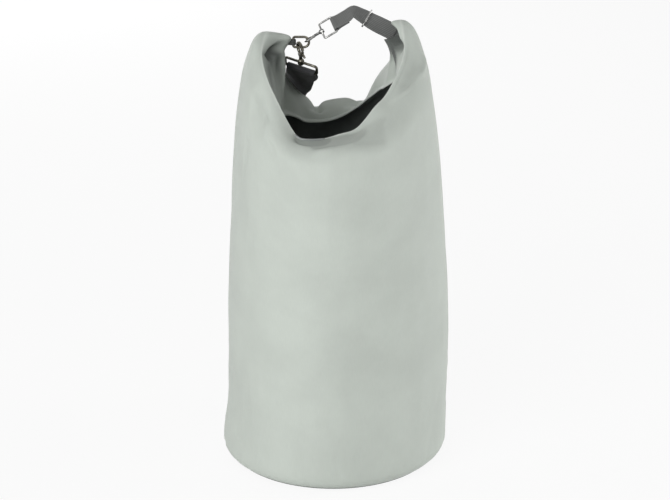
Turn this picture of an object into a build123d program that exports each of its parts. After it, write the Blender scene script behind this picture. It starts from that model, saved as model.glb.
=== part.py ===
"""Roll-top dry bag, standing open with its two mouth corners clipped together over the top.

Millimetres, +Z up. The origin is the centre of the round base on the floor, -Y is the front.
"""

import math
import os

from build123d import *

# ---------------------------------------------------------------- bag sizes
BASE_RADIUS = 129.0  # outer radius of the welded base seam
BASE_CORNER = 9.0  # radius where the base panel turns up
BASE_TURN_UP = 14.0  # height of the base panel's upturned rim
FABRIC = 1.5  # thickness of every fabric wall, coating included
SEAM_GAP = 0.9  # room between the wall and the base's rim inside it
MOUTH_X = 3.5  # the bag leans to the right by this much above its base
SEAM_Z = 5.0  # lower edge of the wall
BULGE_Z = 45.0  # height where the wall first stands upright

# How the bag's wall swells: height, then reach to the left, to the right, and front or back.
BULGE = (BULGE_Z, 140.0, 138.5, 141.0)
LOWER_WALL = (115.0, 131.5, 140.5, 141.0)
UPPER_WALL = (210.0, 138.5, 143.0, 143.5)
LEAN = (-0.27, 1.0)  # how the wall leans inwards at the fold below the crest
LEAN_HANDLE = 50.0

# Round the mouth, by compass angle from +X towards the back: (reach, height) of the fold where
# the wall starts to lean in, of the crest, of the middle of the turned-in band, and of its hem.
MOUTH = {
    0.0: ((108, 505), (86, 549), (70, 512), (68, 470)),
    22.5: ((118, 480), (82, 524), (71, 500), (64, 464)),
    45.0: ((132, 450), (95, 490), (85, 475), (78, 454)),
    67.5: ((142, 420), (112, 443), (98, 437), (88, 429)),
    90.0: ((146, 402), (121, 425), (106, 418), (95, 404)),
    112.5: ((142, 408), (110, 439), (94, 428), (84, 405)),
    135.0: ((134, 440), (96, 470), (77, 452), (66, 419)),
    157.5: ((122, 475), (88, 512), (66, 485), (56, 430)),
    180.0: ((107, 505), (84, 539), (57, 508), (52, 434)),
    202.5: ((112, 490), (94, 519), (74, 482), (60, 430)),
    225.0: ((125, 452), (102, 484), (88, 458), (74, 417)),
    247.5: ((134, 418), (107, 443), (98, 426), (89, 393)),
    270.0: ((139, 418), (96, 442), (90, 425), (86, 392)),
    292.5: ((136, 428), (92, 458), (86, 440), (82, 405)),
    315.0: ((128, 450), (88, 485), (81, 464), (76, 430)),
    337.5: ((116, 480), (86, 522), (77, 495), (70, 455)),
}
STATION_STEP = 22.5
STATIONS_PER_STEP = 2  # wall sections between two named compass angles
CURVE_STEPS = (4, 5, 4, 5, 3)  # straight steps along each curve of a wall section

STIFFENER_WIDTH = 10.0  # strip that keeps the mouth's hem flat
STIFFENER_THICKNESS = 1.4
STIFFENER_GAP = 0.4
TAPE_WIDTH = 14.0  # heat-sealed tape inside each seam
TAPE_THICKNESS = 0.6
TAPE_GAP = 0.8
TAPE_TOP = 0.8  # share of the wall's curve that the side tapes cover

# ------------------------------------------------------------ hardware sizes
RING_WIRE = 1.5  # radius of the rings' wire
WIRE_SIDES = 12  # flats round a bent wire, so that its bends have few facets
PIN_ROOM = 0.06  # room round a pin or post
BAR_ROOM = 0.25  # room between a bar and the webbing looped round it
WEBBING_THICKNESS = 1.6
TAB_WEBBING = 10.0
CLOSURE_WEBBING = 20.0
STRAP_WIDTH = 38.0
STRAP_THICKNESS = 2.0

LEFT_BAR = (-47.5, 5.0, 526.7)  # middle of the left ring's straight bar
LEFT_RING_WIDTH = 12.5
LEFT_RING_DEPTH = 18.75
LEFT_TAB_TAIL = 11.0
REAR_BAR = (0.0, 152.0, 98.0)
REAR_RING_WIDTH = 22.0
REAR_RING_DEPTH = 16.0
REAR_TAB_TAIL = 48.0
REAR_TAB_LEAN = 0.105
PATCH_THICKNESS = 1.2
PATCH_GAP = 0.2
PATCH_REACH = 11.25  # compass degrees that the rear patch covers to each side

CLOSURE_HOLD = (-29.7, 5.0, 529.9)  # middle of the ring's wire where the closure clasp holds it
CLOSURE_BOW = 5.2
CLOSURE_WIRE = 1.4
CLOSURE_SHANK = 11.0
CLOSURE_FRAME_DEPTH = 19.0
CLOSURE_FRAME_X = (0.3, -0.81, -0.495)
CLOSURE_LEAVES = (0.855, 0.0, 0.518)
CLOSURE_TAIL = 12.0
# Webbing from the closure clasp to the right mouth corner: middle, width direction, thickness.
CLOSURE_RUN = [
    ((24.0, 3.5, 564.0), (0.1, -0.85, -0.5), 3.2),
    ((34.0, 1.5, 560.0), (-0.3, -0.75, -0.58), 1.6),
    ((46.0, 0.0, 553.0), (-0.3, -0.5, -0.8), 1.6),
    ((58.0, 1.5, 546.5), (-0.25, -0.2, -0.93), 1.6),
    ((74.5, 5.0, 537.5), (-0.2, -0.1, -0.95), 1.6),
]

STRAP_BOW = 7.5
STRAP_WIRE = 1.9
STRAP_SHANK = 11.0
STRAP_FRAME_DEPTH = 13.0
STRAP_NOSE_ROOM = 2.4
UPPER_HOLD = (-39.3, 5.0, 520.45)
UPPER_AXIS = (-0.03, -0.42, 0.907)
UPPER_LEVER_SIDE = (0.42, -0.79, -0.45)
UPPER_FRAME_X = (0.88, -0.45, -0.179)
UPPER_LEAVES = (0.1, 0.85, -0.52)
STRAP_TAIL = 13.0
LOWER_LEVER_SIDE = (0.72, 0.69, 0.0)
LOWER_TAIL = 8.0
# Strap over the back crest: middle, width direction, thickness.
STRAP_OVER_CREST = [
    ((-37.5, 46.0, 475.0), (0.86, -0.22, -0.3), 2.0),
    ((-41.5, 69.0, 464.0), (0.76, 0.12, -0.4), 2.0),
    ((-46.5, 91.0, 453.5), (0.62, 0.45, -0.5), 2.0),
    ((-51.0, 111.5, 446.0), (0.68, 0.42, -0.5), 2.0),
    ((-55.5, 133.5, 429.5), (0.82, 0.3, -0.42), 2.0),
    ((-57.0, 152.0, 397.0), (0.95, 0.14, -0.26), 2.0),
]
STRAP_TOP = (-52.0, 166.5, 350.0)
STRAP_BOTTOM = (0.0, 174.0, 36.0)

KEEPER_WIRE = 1.1
SLIDER_OPENING = 4.0
SLIDER_PLACE = (40.0, 0.6, 556.6)
SLIDER_ACROSS = (-0.3, -0.62, -0.72)
SLIDER_ALONG = (0.86, -0.12, -0.5)
ADJUSTER_BAR = 3.6
ADJUSTER_LENGTH = 27.0
ADJUSTER_ROOM = 0.35
ADJUSTER_SHARE = 0.42


def unit(*direction):
    """Vector of length one in the given direction."""
    return Vector(*direction).normalized()


# ------------------------------------------------------------------ the fabric
def reach(ring, angle):
    """Distance of the wall from the mouth's axis, at one of the named heights."""
    left, right, depth = ring[1:]
    turn = math.radians(angle)
    side = (left + right) / 2
    lean = (right - left) / 2
    return (side + depth) / 2 + (side - depth) / 2 * math.cos(2 * turn) + lean * math.cos(turn)


def seam_reach(angle):
    """Distance of the round base seam from the mouth's axis."""
    turn = math.radians(angle)
    return math.sqrt(BASE_RADIUS**2 - (MOUTH_X * math.sin(turn)) ** 2) - MOUTH_X * math.cos(turn)


def mouth_at(angle):
    """The four (reach, height) pairs of the mouth at any compass angle, on a smooth curve."""
    place = angle / STATION_STEP
    first = math.floor(place)
    share = place - first
    named = [MOUTH[(first + step) * STATION_STEP % 360] for step in (-1, 0, 1, 2)]
    weights = (
        (-(share**3) + 2 * share**2 - share) / 2,
        (3 * share**3 - 5 * share**2 + 2) / 2,
        (-3 * share**3 + 4 * share**2 + share) / 2,
        (share**3 - share**2) / 2,
    )
    return [
        tuple(sum(w * pairs[row][axis] for w, pairs in zip(weights, named)) for axis in (0, 1))
        for row in range(4)
    ]


def section_plane(angle):
    """Upright plane through the mouth's axis: its x runs outwards and its y runs up."""
    turn = math.radians(angle)
    outwards = (math.cos(turn), math.sin(turn), 0)
    return Plane(origin=(MOUTH_X, 0, 0), x_dir=outwards, z_dir=(outwards[1], -outwards[0], 0))


def handled(start, leaving, end, arriving, pull=0.36):
    """Bezier points of a curve that leaves and arrives in the given directions."""
    start, end = Vector(*start), Vector(*end)
    handle = (end - start).length * pull
    return [start, start + unit(*leaving) * handle, end - unit(*arriving) * handle, end]


def wall_curves(angle):
    """Outer face of the fabric, from the base seam over the crest to the hem, as Beziers."""
    fold, crest, band, hem = mouth_at(angle)
    seam = (seam_reach(angle), SEAM_Z)
    bulge = (reach(BULGE, angle), BULGE_Z)
    drop = (hem[0] - crest[0], hem[1] - crest[1])
    hang = (hem[0] - band[0], hem[1] - band[1])
    wall = [
        Vector(*bulge),
        Vector(reach(LOWER_WALL, angle), LOWER_WALL[0]),
        Vector(reach(UPPER_WALL, angle), UPPER_WALL[0]),
        Vector(*fold) - unit(*LEAN) * LEAN_HANDLE,
        Vector(*fold),
    ]
    return [
        handled(seam, (1, 0.7), bulge, (0, 1)),
        wall,
        handled(fold, LEAN, crest, (-1, 0.02), 0.45),
        handled(crest, (-1, -0.02), band, drop, 0.42),
        handled(band, drop, hem, hang),
    ]


def outline(angle, inset):
    """Points up the wall, over the crest and down to the hem, moved inwards by inset."""
    places = []
    slopes = []
    for points, steps in zip(wall_curves(angle), CURVE_STEPS):
        curve = Bezier(*points, mode=Mode.PRIVATE)
        places += [curve @ (step / steps) for step in range(steps)]
        slopes += [curve % (step / steps) for step in range(steps)]
    places.append(curve @ 1)
    slopes.append(curve % 1)
    return [place + Vector(-slope.Y, slope.X) * inset for place, slope in zip(places, slopes)]


def stations(first, last):
    """Compass angles of the wall sections from first to last."""
    step = STATION_STEP / STATIONS_PER_STEP
    return [first + step * number for number in range(round((last - first) / step) + 1)]


def fabric_panel(label, first, last):
    """A wall panel between two side seams: up from the base seam, over the crest, to the hem."""
    with BuildPart() as panel:
        for angle in stations(first, last):
            with BuildSketch(section_plane(angle)):
                with BuildLine():
                    Polyline(*outline(angle, 0), *reversed(outline(angle, FABRIC)), close=True)
                make_face()
        loft(ruled=True)
    panel.part.label = label
    return panel.part


def mouth_stiffener(label, first, last):
    """Strip along the hem, on the coated side of the turned-in band."""
    near = FABRIC + STIFFENER_GAP
    with BuildPart() as strip:
        for angle in stations(first, last):
            facing = outline(angle, near)[-CURVE_STEPS[-1] - 1 :]
            backing = outline(angle, near + STIFFENER_THICKNESS)[-CURVE_STEPS[-1] - 1 :]
            share = STIFFENER_WIDTH / (facing[0] - facing[-1]).length
            corners = [
                row[-1] + (row[0] - row[-1]) * along
                for row, along in ((facing, share), (facing, 0.05), (backing, 0.05), (backing, share))
            ]
            with BuildSketch(section_plane(angle)):
                with BuildLine():
                    Polyline(*corners, close=True)
                make_face()
        loft(ruled=True)
    strip.part.label = label
    return strip.part


def side_seam_tape(label, angle):
    """Sealing tape up the inside of a side seam."""
    near = FABRIC + TAPE_GAP
    first = CURVE_STEPS[0] // 2
    last = first + round(CURVE_STEPS[1] * TAPE_TOP)
    with BuildPart() as tape:
        with BuildSketch(section_plane(angle)):
            with BuildLine():
                facing = outline(angle, near)[first : last + 1]
                backing = outline(angle, near + TAPE_THICKNESS)[first : last + 1]
                Polyline(*facing, *reversed(backing), close=True)
            make_face()
        extrude(amount=TAPE_WIDTH / 2, both=True)
    tape.part.label = label
    return tape.part


def rear_patch_part():
    """Reinforcing patch welded to the back panel behind the rear tab."""
    first = CURVE_STEPS[0] + 1
    with BuildPart() as patch:
        for angle in stations(90 - PATCH_REACH, 90 + PATCH_REACH):
            facing = outline(angle, -PATCH_GAP)[first : first + 2]
            backing = outline(angle, -PATCH_GAP - PATCH_THICKNESS)[first : first + 2]
            with BuildSketch(section_plane(angle)):
                with BuildLine():
                    Polyline(*facing, *reversed(backing), close=True)
                make_face()
        loft(ruled=True)
    patch.part.label = "rear_patch"
    return patch.part


bag_parts = [
    fabric_panel("back_panel", 0, 180),
    fabric_panel("front_panel", 180, 360),
    mouth_stiffener("back_mouth_stiffener", 0, 180),
    mouth_stiffener("front_mouth_stiffener", 180, 360),
    side_seam_tape("right_seam_tape", 0),
    side_seam_tape("left_seam_tape", 180),
    rear_patch_part(),
]

# --------------------------------------------------- round base and its seam tape
rim = BASE_RADIUS - FABRIC - SEAM_GAP
with BuildPart() as base_panel:
    with BuildSketch(Plane.XZ):
        with BuildLine():
            Polyline((0, FABRIC), (0, 0), (rim - BASE_CORNER, 0))
            RadiusArc((rim - BASE_CORNER, 0), (rim, BASE_CORNER), -BASE_CORNER)
            Polyline((rim, BASE_CORNER), (rim, BASE_TURN_UP), (rim - FABRIC, BASE_TURN_UP))
            Line((rim - FABRIC, BASE_TURN_UP), (rim - FABRIC, BASE_CORNER))
            RadiusArc(
                (rim - FABRIC, BASE_CORNER), (rim - BASE_CORNER, FABRIC), BASE_CORNER - FABRIC
            )
            Line((rim - BASE_CORNER, FABRIC), (0, FABRIC))
        make_face()
    revolve(axis=Axis.Z)
base_panel.part.label = "base_panel"

tape_face = rim - FABRIC - 0.1
with BuildPart() as base_seam_tape:
    with BuildSketch(Plane.XZ):
        with BuildLine():
            Polyline(
                (tape_face, BASE_CORNER),
                (tape_face, BASE_TURN_UP + 0.1),
                (tape_face + 5, BASE_TURN_UP + 8),
                (tape_face + 5 - TAPE_THICKNESS, BASE_TURN_UP + 8),
                (tape_face - TAPE_THICKNESS, BASE_TURN_UP + 0.3),
                (tape_face - TAPE_THICKNESS, BASE_CORNER),
                close=True,
            )
        make_face()
    revolve(axis=Axis.Z)
base_seam_tape.part.label = "base_seam_tape"
bag_parts += [base_panel.part, base_seam_tape.part]


# ------------------------------------------------------------- rings and webbing
def upright(seat):
    """The plane whose x is the seat's x and whose y is the seat's axis."""
    return Plane(origin=seat.origin, x_dir=seat.x_dir, z_dir=-seat.y_dir)


def wire_loop(plane, corners, radii, wire):
    """Closed loop of round wire through the corners, bent to the given radii."""
    with BuildPart() as loop:
        with BuildLine(plane) as path:
            FilletPolyline(*corners, radius=radii, close=True)
        with BuildSketch(Plane(origin=path.line @ 0, z_dir=path.line % 0)):
            RegularPolygon(wire, WIRE_SIDES)
        sweep()
    return loop.part


def d_ring(label, plane, width, depth):
    """D-ring with its straight bar on the plane's y axis and its bow towards +x."""
    half = width / 2
    corners = ((0, -half), (depth, -half), (depth, half), (0, half))
    ring = wire_loop(plane, corners, [2.6, half - 0.1, half - 0.1, 2.6], RING_WIRE)
    ring.label = label
    return ring


def looped_end(bar_plane, wire, thickness, width, tail):
    """Webbing round a bar along the plane's z, sewn flat to itself along +x for tail."""
    inner = wire + BAR_ROOM
    outer = inner + thickness
    with BuildPart() as end:
        with BuildSketch(bar_plane):
            Circle(outer)
            with Locations((tail / 2, 0)):
                Rectangle(tail, 2 * thickness)
            Circle(inner, mode=Mode.SUBTRACT)
        extrude(amount=width / 2, both=True)
    return end.part


left_ring = d_ring(
    "left_ring",
    Plane(origin=LEFT_BAR, x_dir=(1, 0, 0), z_dir=(0, -1, 0)),
    LEFT_RING_WIDTH,
    LEFT_RING_DEPTH,
)
left_tab = looped_end(
    Plane(origin=LEFT_BAR, x_dir=(-1, 0, 0), z_dir=(0, 0, 1)),
    RING_WIRE,
    WEBBING_THICKNESS,
    TAB_WEBBING - 3,
    LEFT_TAB_TAIL,
)
left_tab.label = "left_tab"

rear_ring = d_ring(
    "rear_ring",
    Plane(origin=REAR_BAR, x_dir=(0, 0, -1), z_dir=(0, -1, 0)),
    REAR_RING_WIDTH,
    REAR_RING_DEPTH,
)
rear_tab = looped_end(
    Plane(origin=REAR_BAR, x_dir=(0, -REAR_TAB_LEAN, 1), z_dir=(1, 0, 0)),
    RING_WIRE,
    WEBBING_THICKNESS,
    REAR_RING_WIDTH - 6,
    REAR_TAB_TAIL,
)
rear_tab.label = "rear_tab"


# --------------------------------------------------------------- swivel clasps
class Clasp:
    """Swivel lobster clasp: a hook on a post, a sprung thumb lever, and a frame for webbing.

    seat is the swivel plane: its axis points to the hook's nose and its x to the lever's side.
    frame_x is the direction of the frame's bar.
    """

    def __init__(self, name, seat, frame_x, bow, wire, shank, webbing, frame_depth):
        self.name = name
        self.seat = seat
        self.frame_x = frame_x
        self.bow = bow  # radius of the hook's bow, to the middle of its wire
        self.wire = wire
        self.shank = shank  # from the swivel plane to the bottom of the bow
        self.webbing = webbing
        self.frame_depth = frame_depth
        self.post = wire * 0.95
        self.boss = wire * 2.2
        self.frame_wire = wire * 0.85
        self.lever_half = wire * 0.5
        self.pin = wire * 0.42
        self.centre = (0, shank + bow)
        self.pivot = self.on_bow(-60)

    def on_bow(self, angle, radius=None):
        """Point at an angle on the bow, in the upright plane."""
        turn = math.radians(angle)
        radius = radius or self.bow
        return (
            self.centre[0] + radius * math.cos(turn),
            self.centre[1] + radius * math.sin(turn),
        )

    def named(self, part, ending):
        """The part with this clasp's name and its own."""
        part.label = f"{self.name}_{ending}"
        return part

    def hook(self):
        """Cast hook: post, flange and neck turned in one, a forked yoke, and the round bow."""
        side = upright(self.seat)
        axis = Axis(self.seat.origin, self.seat.z_dir)
        head = self.boss + 0.3
        neck = self.wire * 1.15
        with BuildPart() as hook:
            with BuildSketch(side):
                with BuildLine():
                    Polyline(
                        (0, -head - self.wire * 0.6),
                        (self.post + 0.9, -head - self.wire * 0.6),
                        (self.post + 0.9, -head),
                        (self.post, -head),
                        (self.post, 0.15),
                        (self.wire * 1.9, 0.15),
                        (self.wire * 1.9, self.wire * 0.6),
                        (neck, self.wire * 1.4),
                        (neck, self.shank - self.bow * 0.1),
                        (0, self.shank),
                        close=True,
                    )
                make_face()
            revolve(axis=axis)
            with BuildSketch(side):
                with Locations(self.pivot):
                    Circle(self.wire * 1.45)
                with Locations((0, self.shank - self.wire * 0.6)):
                    Circle(self.wire * 1.5)
                make_hull()
            extrude(amount=self.wire * 1.15, both=True)
            with BuildLine(side) as bow_path:
                CenterArc(self.centre, self.bow, -90, -253)
            with BuildSketch(Plane(origin=bow_path.line @ 0, z_dir=bow_path.line % 0)):
                RegularPolygon(self.wire, WIRE_SIDES)
            sweep()
            with BuildSketch(side):
                for turn in (None, 8, 80):
                    reach_out = 0 if turn is None else self.wire * 4
                    along = math.radians(turn or 0)
                    with Locations(
                        (
                            self.pivot[0] + reach_out * math.cos(along),
                            self.pivot[1] + reach_out * math.sin(along),
                        )
                    ):
                        Circle(self.wire * 1.18)
                make_hull()
            extrude(amount=self.lever_half + 0.12, both=True, mode=Mode.SUBTRACT)
            with BuildSketch(side):
                with Locations(self.pivot):
                    Circle(self.pin)
            extrude(amount=self.wire * 2, both=True, mode=Mode.SUBTRACT)
        return self.named(hook.part, "hook")

    def lever(self):
        """Sprung lever that closes the bow, with a lug for the thumb."""
        side = upright(self.seat)
        with BuildPart() as lever:
            with BuildSketch(side):
                with BuildLine():
                    CenterArc(self.centre, self.bow, -60, 69)
                trace(line_width=self.wire * 1.2)
                with BuildLine():
                    Line(self.on_bow(-22), self.on_bow(-22, self.bow + self.wire * 2.4))
                trace(line_width=self.wire * 1.1)
                with Locations(self.on_bow(-22, self.bow + self.wire * 2.6)):
                    Circle(self.wire * 0.85)
                with Locations(self.pivot):
                    Circle(self.wire)
                    Circle(self.pin + PIN_ROOM, mode=Mode.SUBTRACT)
            extrude(amount=self.lever_half, both=True)
        return self.named(lever.part, "lever")

    def pin_part(self):
        """Pin that the lever turns on, riveted flush in the yoke."""
        with BuildPart() as pin:
            with BuildSketch(upright(self.seat)):
                with Locations(self.pivot):
                    Circle(self.pin)
            extrude(amount=self.wire * 1.15, both=True)
        return self.named(pin.part, "pin")

    def bar_middle(self):
        """Middle of the bar that the webbing loops round."""
        return Vector(self.seat.origin) - self.seat.z_dir * self.frame_depth

    def frame(self):
        """Wire frame for the webbing, hung on the post by a bored boss."""
        plane = Plane(origin=self.seat.origin, x_dir=self.frame_x, z_dir=self.seat.z_dir)
        half = self.webbing / 2 + 1.0 + self.frame_wire
        top = -self.boss / 2
        corners = (
            (-half, top),
            (half, top),
            (half, -self.frame_depth),
            (-half, -self.frame_depth),
        )
        corner = self.frame_wire * 1.6
        loop = wire_loop(upright(plane), corners, [corner] * 4, self.frame_wire)
        with BuildPart() as frame:
            add(loop)
            with BuildSketch(plane.offset(-self.boss)):
                Circle(self.post + self.wire * 1.15)
            extrude(amount=self.boss - 0.15)
            with BuildSketch(plane.offset(-self.boss - 1)):
                Circle(self.post + PIN_ROOM)
            extrude(amount=self.boss + 2, mode=Mode.SUBTRACT)
        return self.named(frame.part, "frame")

    def parts(self):
        """All pieces of the clasp."""
        return [self.hook(), self.lever(), self.pin_part(), self.frame()]


def hung_seat(wire_point, nose, lever_side, bow, shank, nose_room):
    """Swivel plane of a clasp whose bow holds a wire at the given point."""
    nose = unit(*nose)
    side = Vector(*lever_side)
    side = (side - nose * side.dot(nose)).normalized()
    origin = Vector(*wire_point) - nose * (nose_room + bow + shank)
    return Plane(origin=origin, x_dir=side, z_dir=nose)


closure_seat = hung_seat(
    CLOSURE_HOLD, (-0.855, 0, -0.518), (0, 1, 0), CLOSURE_BOW, CLOSURE_SHANK, 1.4
)
closure = Clasp(
    "closure",
    closure_seat,
    CLOSURE_FRAME_X,
    CLOSURE_BOW,
    CLOSURE_WIRE,
    CLOSURE_SHANK,
    CLOSURE_WEBBING,
    CLOSURE_FRAME_DEPTH,
)
upper_seat = hung_seat(
    UPPER_HOLD, UPPER_AXIS, UPPER_LEVER_SIDE, STRAP_BOW, STRAP_SHANK, STRAP_NOSE_ROOM
)
upper = Clasp(
    "upper_clasp",
    upper_seat,
    UPPER_FRAME_X,
    STRAP_BOW,
    STRAP_WIRE,
    STRAP_SHANK,
    STRAP_WIDTH,
    STRAP_FRAME_DEPTH,
)
lower_hold = (REAR_BAR[0], REAR_BAR[1], REAR_BAR[2] - REAR_RING_DEPTH)
lower_seat = hung_seat(
    lower_hold, (0, 0, 1), LOWER_LEVER_SIDE, STRAP_BOW, STRAP_SHANK, STRAP_NOSE_ROOM
)
lower = Clasp(
    "lower_clasp",
    lower_seat,
    (1, 0, 0),
    STRAP_BOW,
    STRAP_WIRE,
    STRAP_SHANK,
    STRAP_WIDTH,
    STRAP_FRAME_DEPTH,
)
clasp_parts = closure.parts() + upper.parts() + lower.parts()


# ------------------------------------------------------------ flat webbing runs
def webbing_run(stops, width, smooth=True):
    """Flat webbing through stops of (middle, direction of its width, thickness)."""
    middles = [Vector(*stop[0]) for stop in stops]
    with BuildPart() as run:
        for number, (middle, across, thickness) in enumerate(stops):
            before = middles[max(number - 1, 0)]
            after = middles[min(number + 1, len(stops) - 1)]
            onward = (after - before).normalized()
            across = Vector(*across)
            across = (across - onward * across.dot(onward)).normalized()
            with BuildSketch(Plane(origin=middle, x_dir=across, z_dir=onward)):
                Rectangle(width, thickness)
        loft(ruled=not smooth)
    return run.part


def from_bar(clasp, towards, tail, wire, thickness, width):
    """Sewn webbing end round a clasp's bar, and the stop from which the webbing runs on."""
    middle = clasp.bar_middle()
    across = Vector(*clasp.frame_x)
    towards = Vector(*towards)
    towards = (towards - across * towards.dot(across)).normalized()
    plane = Plane(origin=middle, x_dir=towards, z_dir=across)
    tip = middle + towards * (tail - 0.5)
    return looped_end(plane, wire, thickness, width, tail), (tuple(tip), across, 2 * thickness)


closure_end, closure_start = from_bar(
    closure,
    CLOSURE_LEAVES,
    CLOSURE_TAIL,
    closure.frame_wire,
    WEBBING_THICKNESS,
    CLOSURE_WEBBING,
)
with BuildPart() as closure_webbing:
    add(closure_end)
    add(webbing_run([closure_start] + CLOSURE_RUN, CLOSURE_WEBBING))
closure_webbing.part.label = "closure_webbing"


def keeper(label, middle, across, along, width, opening):
    """Flat wire keeper round webbing: a rounded rectangle of wire square to the webbing."""
    plane = Plane(origin=middle, x_dir=across, z_dir=along)
    half = width / 2 + 0.6 + KEEPER_WIRE
    lift = opening / 2 + KEEPER_WIRE
    corners = ((-half, -lift), (half, -lift), (half, lift), (-half, lift))
    loop = wire_loop(plane, corners, [lift * 0.95] * 4, KEEPER_WIRE)
    loop.label = label
    return loop


closure_slider = keeper(
    "closure_slider", SLIDER_PLACE, SLIDER_ACROSS, SLIDER_ALONG, CLOSURE_WEBBING, SLIDER_OPENING
)

# ------------------------------------------------------------- shoulder strap
upper_end, upper_start = from_bar(
    upper, UPPER_LEAVES, STRAP_TAIL, upper.frame_wire, STRAP_THICKNESS, STRAP_WIDTH
)
lower_end, lower_start = from_bar(
    lower, (0, 0, -1), LOWER_TAIL, lower.frame_wire, STRAP_THICKNESS, STRAP_WIDTH
)
straight_top, straight_bottom = Vector(*STRAP_TOP), Vector(*STRAP_BOTTOM)
run_down = (straight_bottom - straight_top).normalized()
run_across = (Vector(1, 0, 0) - run_down * run_down.X).normalized()
tail_y, tail_z = lower_start[0][1:]

with BuildPart() as shoulder_strap:
    add(upper_end)
    top = (STRAP_TOP, tuple(run_across), STRAP_THICKNESS)
    bottom = ((STRAP_BOTTOM[0], STRAP_BOTTOM[1], tail_z), tuple(run_across), STRAP_THICKNESS)
    add(webbing_run([upper_start] + STRAP_OVER_CREST + [top], STRAP_WIDTH))
    add(webbing_run([top, bottom], STRAP_WIDTH, smooth=False))
    with BuildSketch(Plane(origin=(0, 0, tail_z), x_dir=(0, 1, 0), z_dir=(1, 0, 0))):
        with BuildLine():
            ThreePointArc(
                (tail_y, 0),
                ((tail_y + STRAP_BOTTOM[1]) / 2, (tail_y - STRAP_BOTTOM[1]) / 2),
                (STRAP_BOTTOM[1], 0),
            )
        trace(line_width=STRAP_THICKNESS)
    extrude(amount=STRAP_WIDTH / 2, both=True)
    add(lower_end)
shoulder_strap.part.label = "shoulder_strap"

# Three-bar adjuster: its outer bars lie in front of the strap and its middle bar behind it.
adjuster_middle = straight_top + (straight_bottom - straight_top) * ADJUSTER_SHARE
adjuster_plane = Plane(origin=adjuster_middle, x_dir=run_across, z_dir=run_across.cross(run_down))
side_out = STRAP_WIDTH / 2 + 1.2
bar_lift = STRAP_THICKNESS / 2 + ADJUSTER_ROOM
with BuildPart() as strap_adjuster:
    for side in (-1, 1):
        with BuildSketch(adjuster_plane):
            with Locations((side * (side_out + ADJUSTER_BAR / 2), 0)):
                RectangleRounded(ADJUSTER_BAR, ADJUSTER_LENGTH, ADJUSTER_BAR * 0.4)
        extrude(amount=bar_lift + ADJUSTER_BAR * 0.8, both=True)
    for place, facing in ((-1, 1), (0, -1), (1, 1)):
        along = place * (ADJUSTER_LENGTH / 2 - ADJUSTER_BAR * 0.7)
        lift = facing * (bar_lift + ADJUSTER_BAR * 0.4)
        bar_plane = Plane(
            origin=adjuster_plane.from_local_coords((-side_out - 0.5, along, lift)),
            x_dir=adjuster_plane.y_dir,
            z_dir=adjuster_plane.x_dir,
        )
        with BuildSketch(bar_plane):
            RectangleRounded(ADJUSTER_BAR, ADJUSTER_BAR * 0.8, ADJUSTER_BAR * 0.3)
        extrude(amount=2 * side_out + 1)
strap_adjuster.part.label = "strap_adjuster"

all_parts = bag_parts + [left_ring, left_tab, rear_ring, rear_tab] + clasp_parts
all_parts += [closure_webbing.part, closure_slider, shoulder_strap.part, strap_adjuster.part]
os.makedirs("parts", exist_ok=True)
for part in all_parts:
    export_step(part, f"parts/{part.label}.step")
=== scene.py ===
"""Roll-top dry bag of sage coated fabric, standing open with its mouth corners clipped together.

The frame holds the bag's carrying pieces at their real size. This script dresses them: the
creased fabric wall with its turned-in mouth, the welded base, woven webbing, sewing and plated
hardware. Lengths inside the classes are millimetres, and meshes are written in metres.
"""

import logging
import math
from collections.abc import Callable, Mapping, Sequence
from dataclasses import dataclass
from enum import Enum

import bmesh
import bpy
from mathutils import Matrix, Vector, noise


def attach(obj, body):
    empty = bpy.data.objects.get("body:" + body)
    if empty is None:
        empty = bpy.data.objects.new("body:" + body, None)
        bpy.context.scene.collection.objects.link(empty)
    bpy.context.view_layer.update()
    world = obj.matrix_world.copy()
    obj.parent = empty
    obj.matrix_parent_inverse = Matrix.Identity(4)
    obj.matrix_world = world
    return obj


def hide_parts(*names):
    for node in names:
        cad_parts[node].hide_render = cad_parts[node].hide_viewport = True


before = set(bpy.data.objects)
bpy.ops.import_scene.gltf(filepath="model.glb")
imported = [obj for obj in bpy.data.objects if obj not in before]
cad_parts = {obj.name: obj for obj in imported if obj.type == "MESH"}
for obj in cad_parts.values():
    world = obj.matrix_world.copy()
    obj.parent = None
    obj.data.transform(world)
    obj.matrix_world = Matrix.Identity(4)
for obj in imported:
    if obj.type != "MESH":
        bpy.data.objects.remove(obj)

LOG = logging.getLogger("dry_bag")
MM = 0.001
MERGED = 0.00001  # vertices nearer to each other than this, in metres, become one
BAG = "bag"

Number = float | int
Colour = tuple[float, float, float]
Pair = tuple[float, float]
Triple = tuple[float, float, float]
Ring = tuple[float, float, float, float]
Table = tuple[Pair, ...]
Stop = tuple[Vector, Vector]
Row = tuple[Vector, Vector, Vector]
Station = tuple[Vector, float, float]


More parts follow.
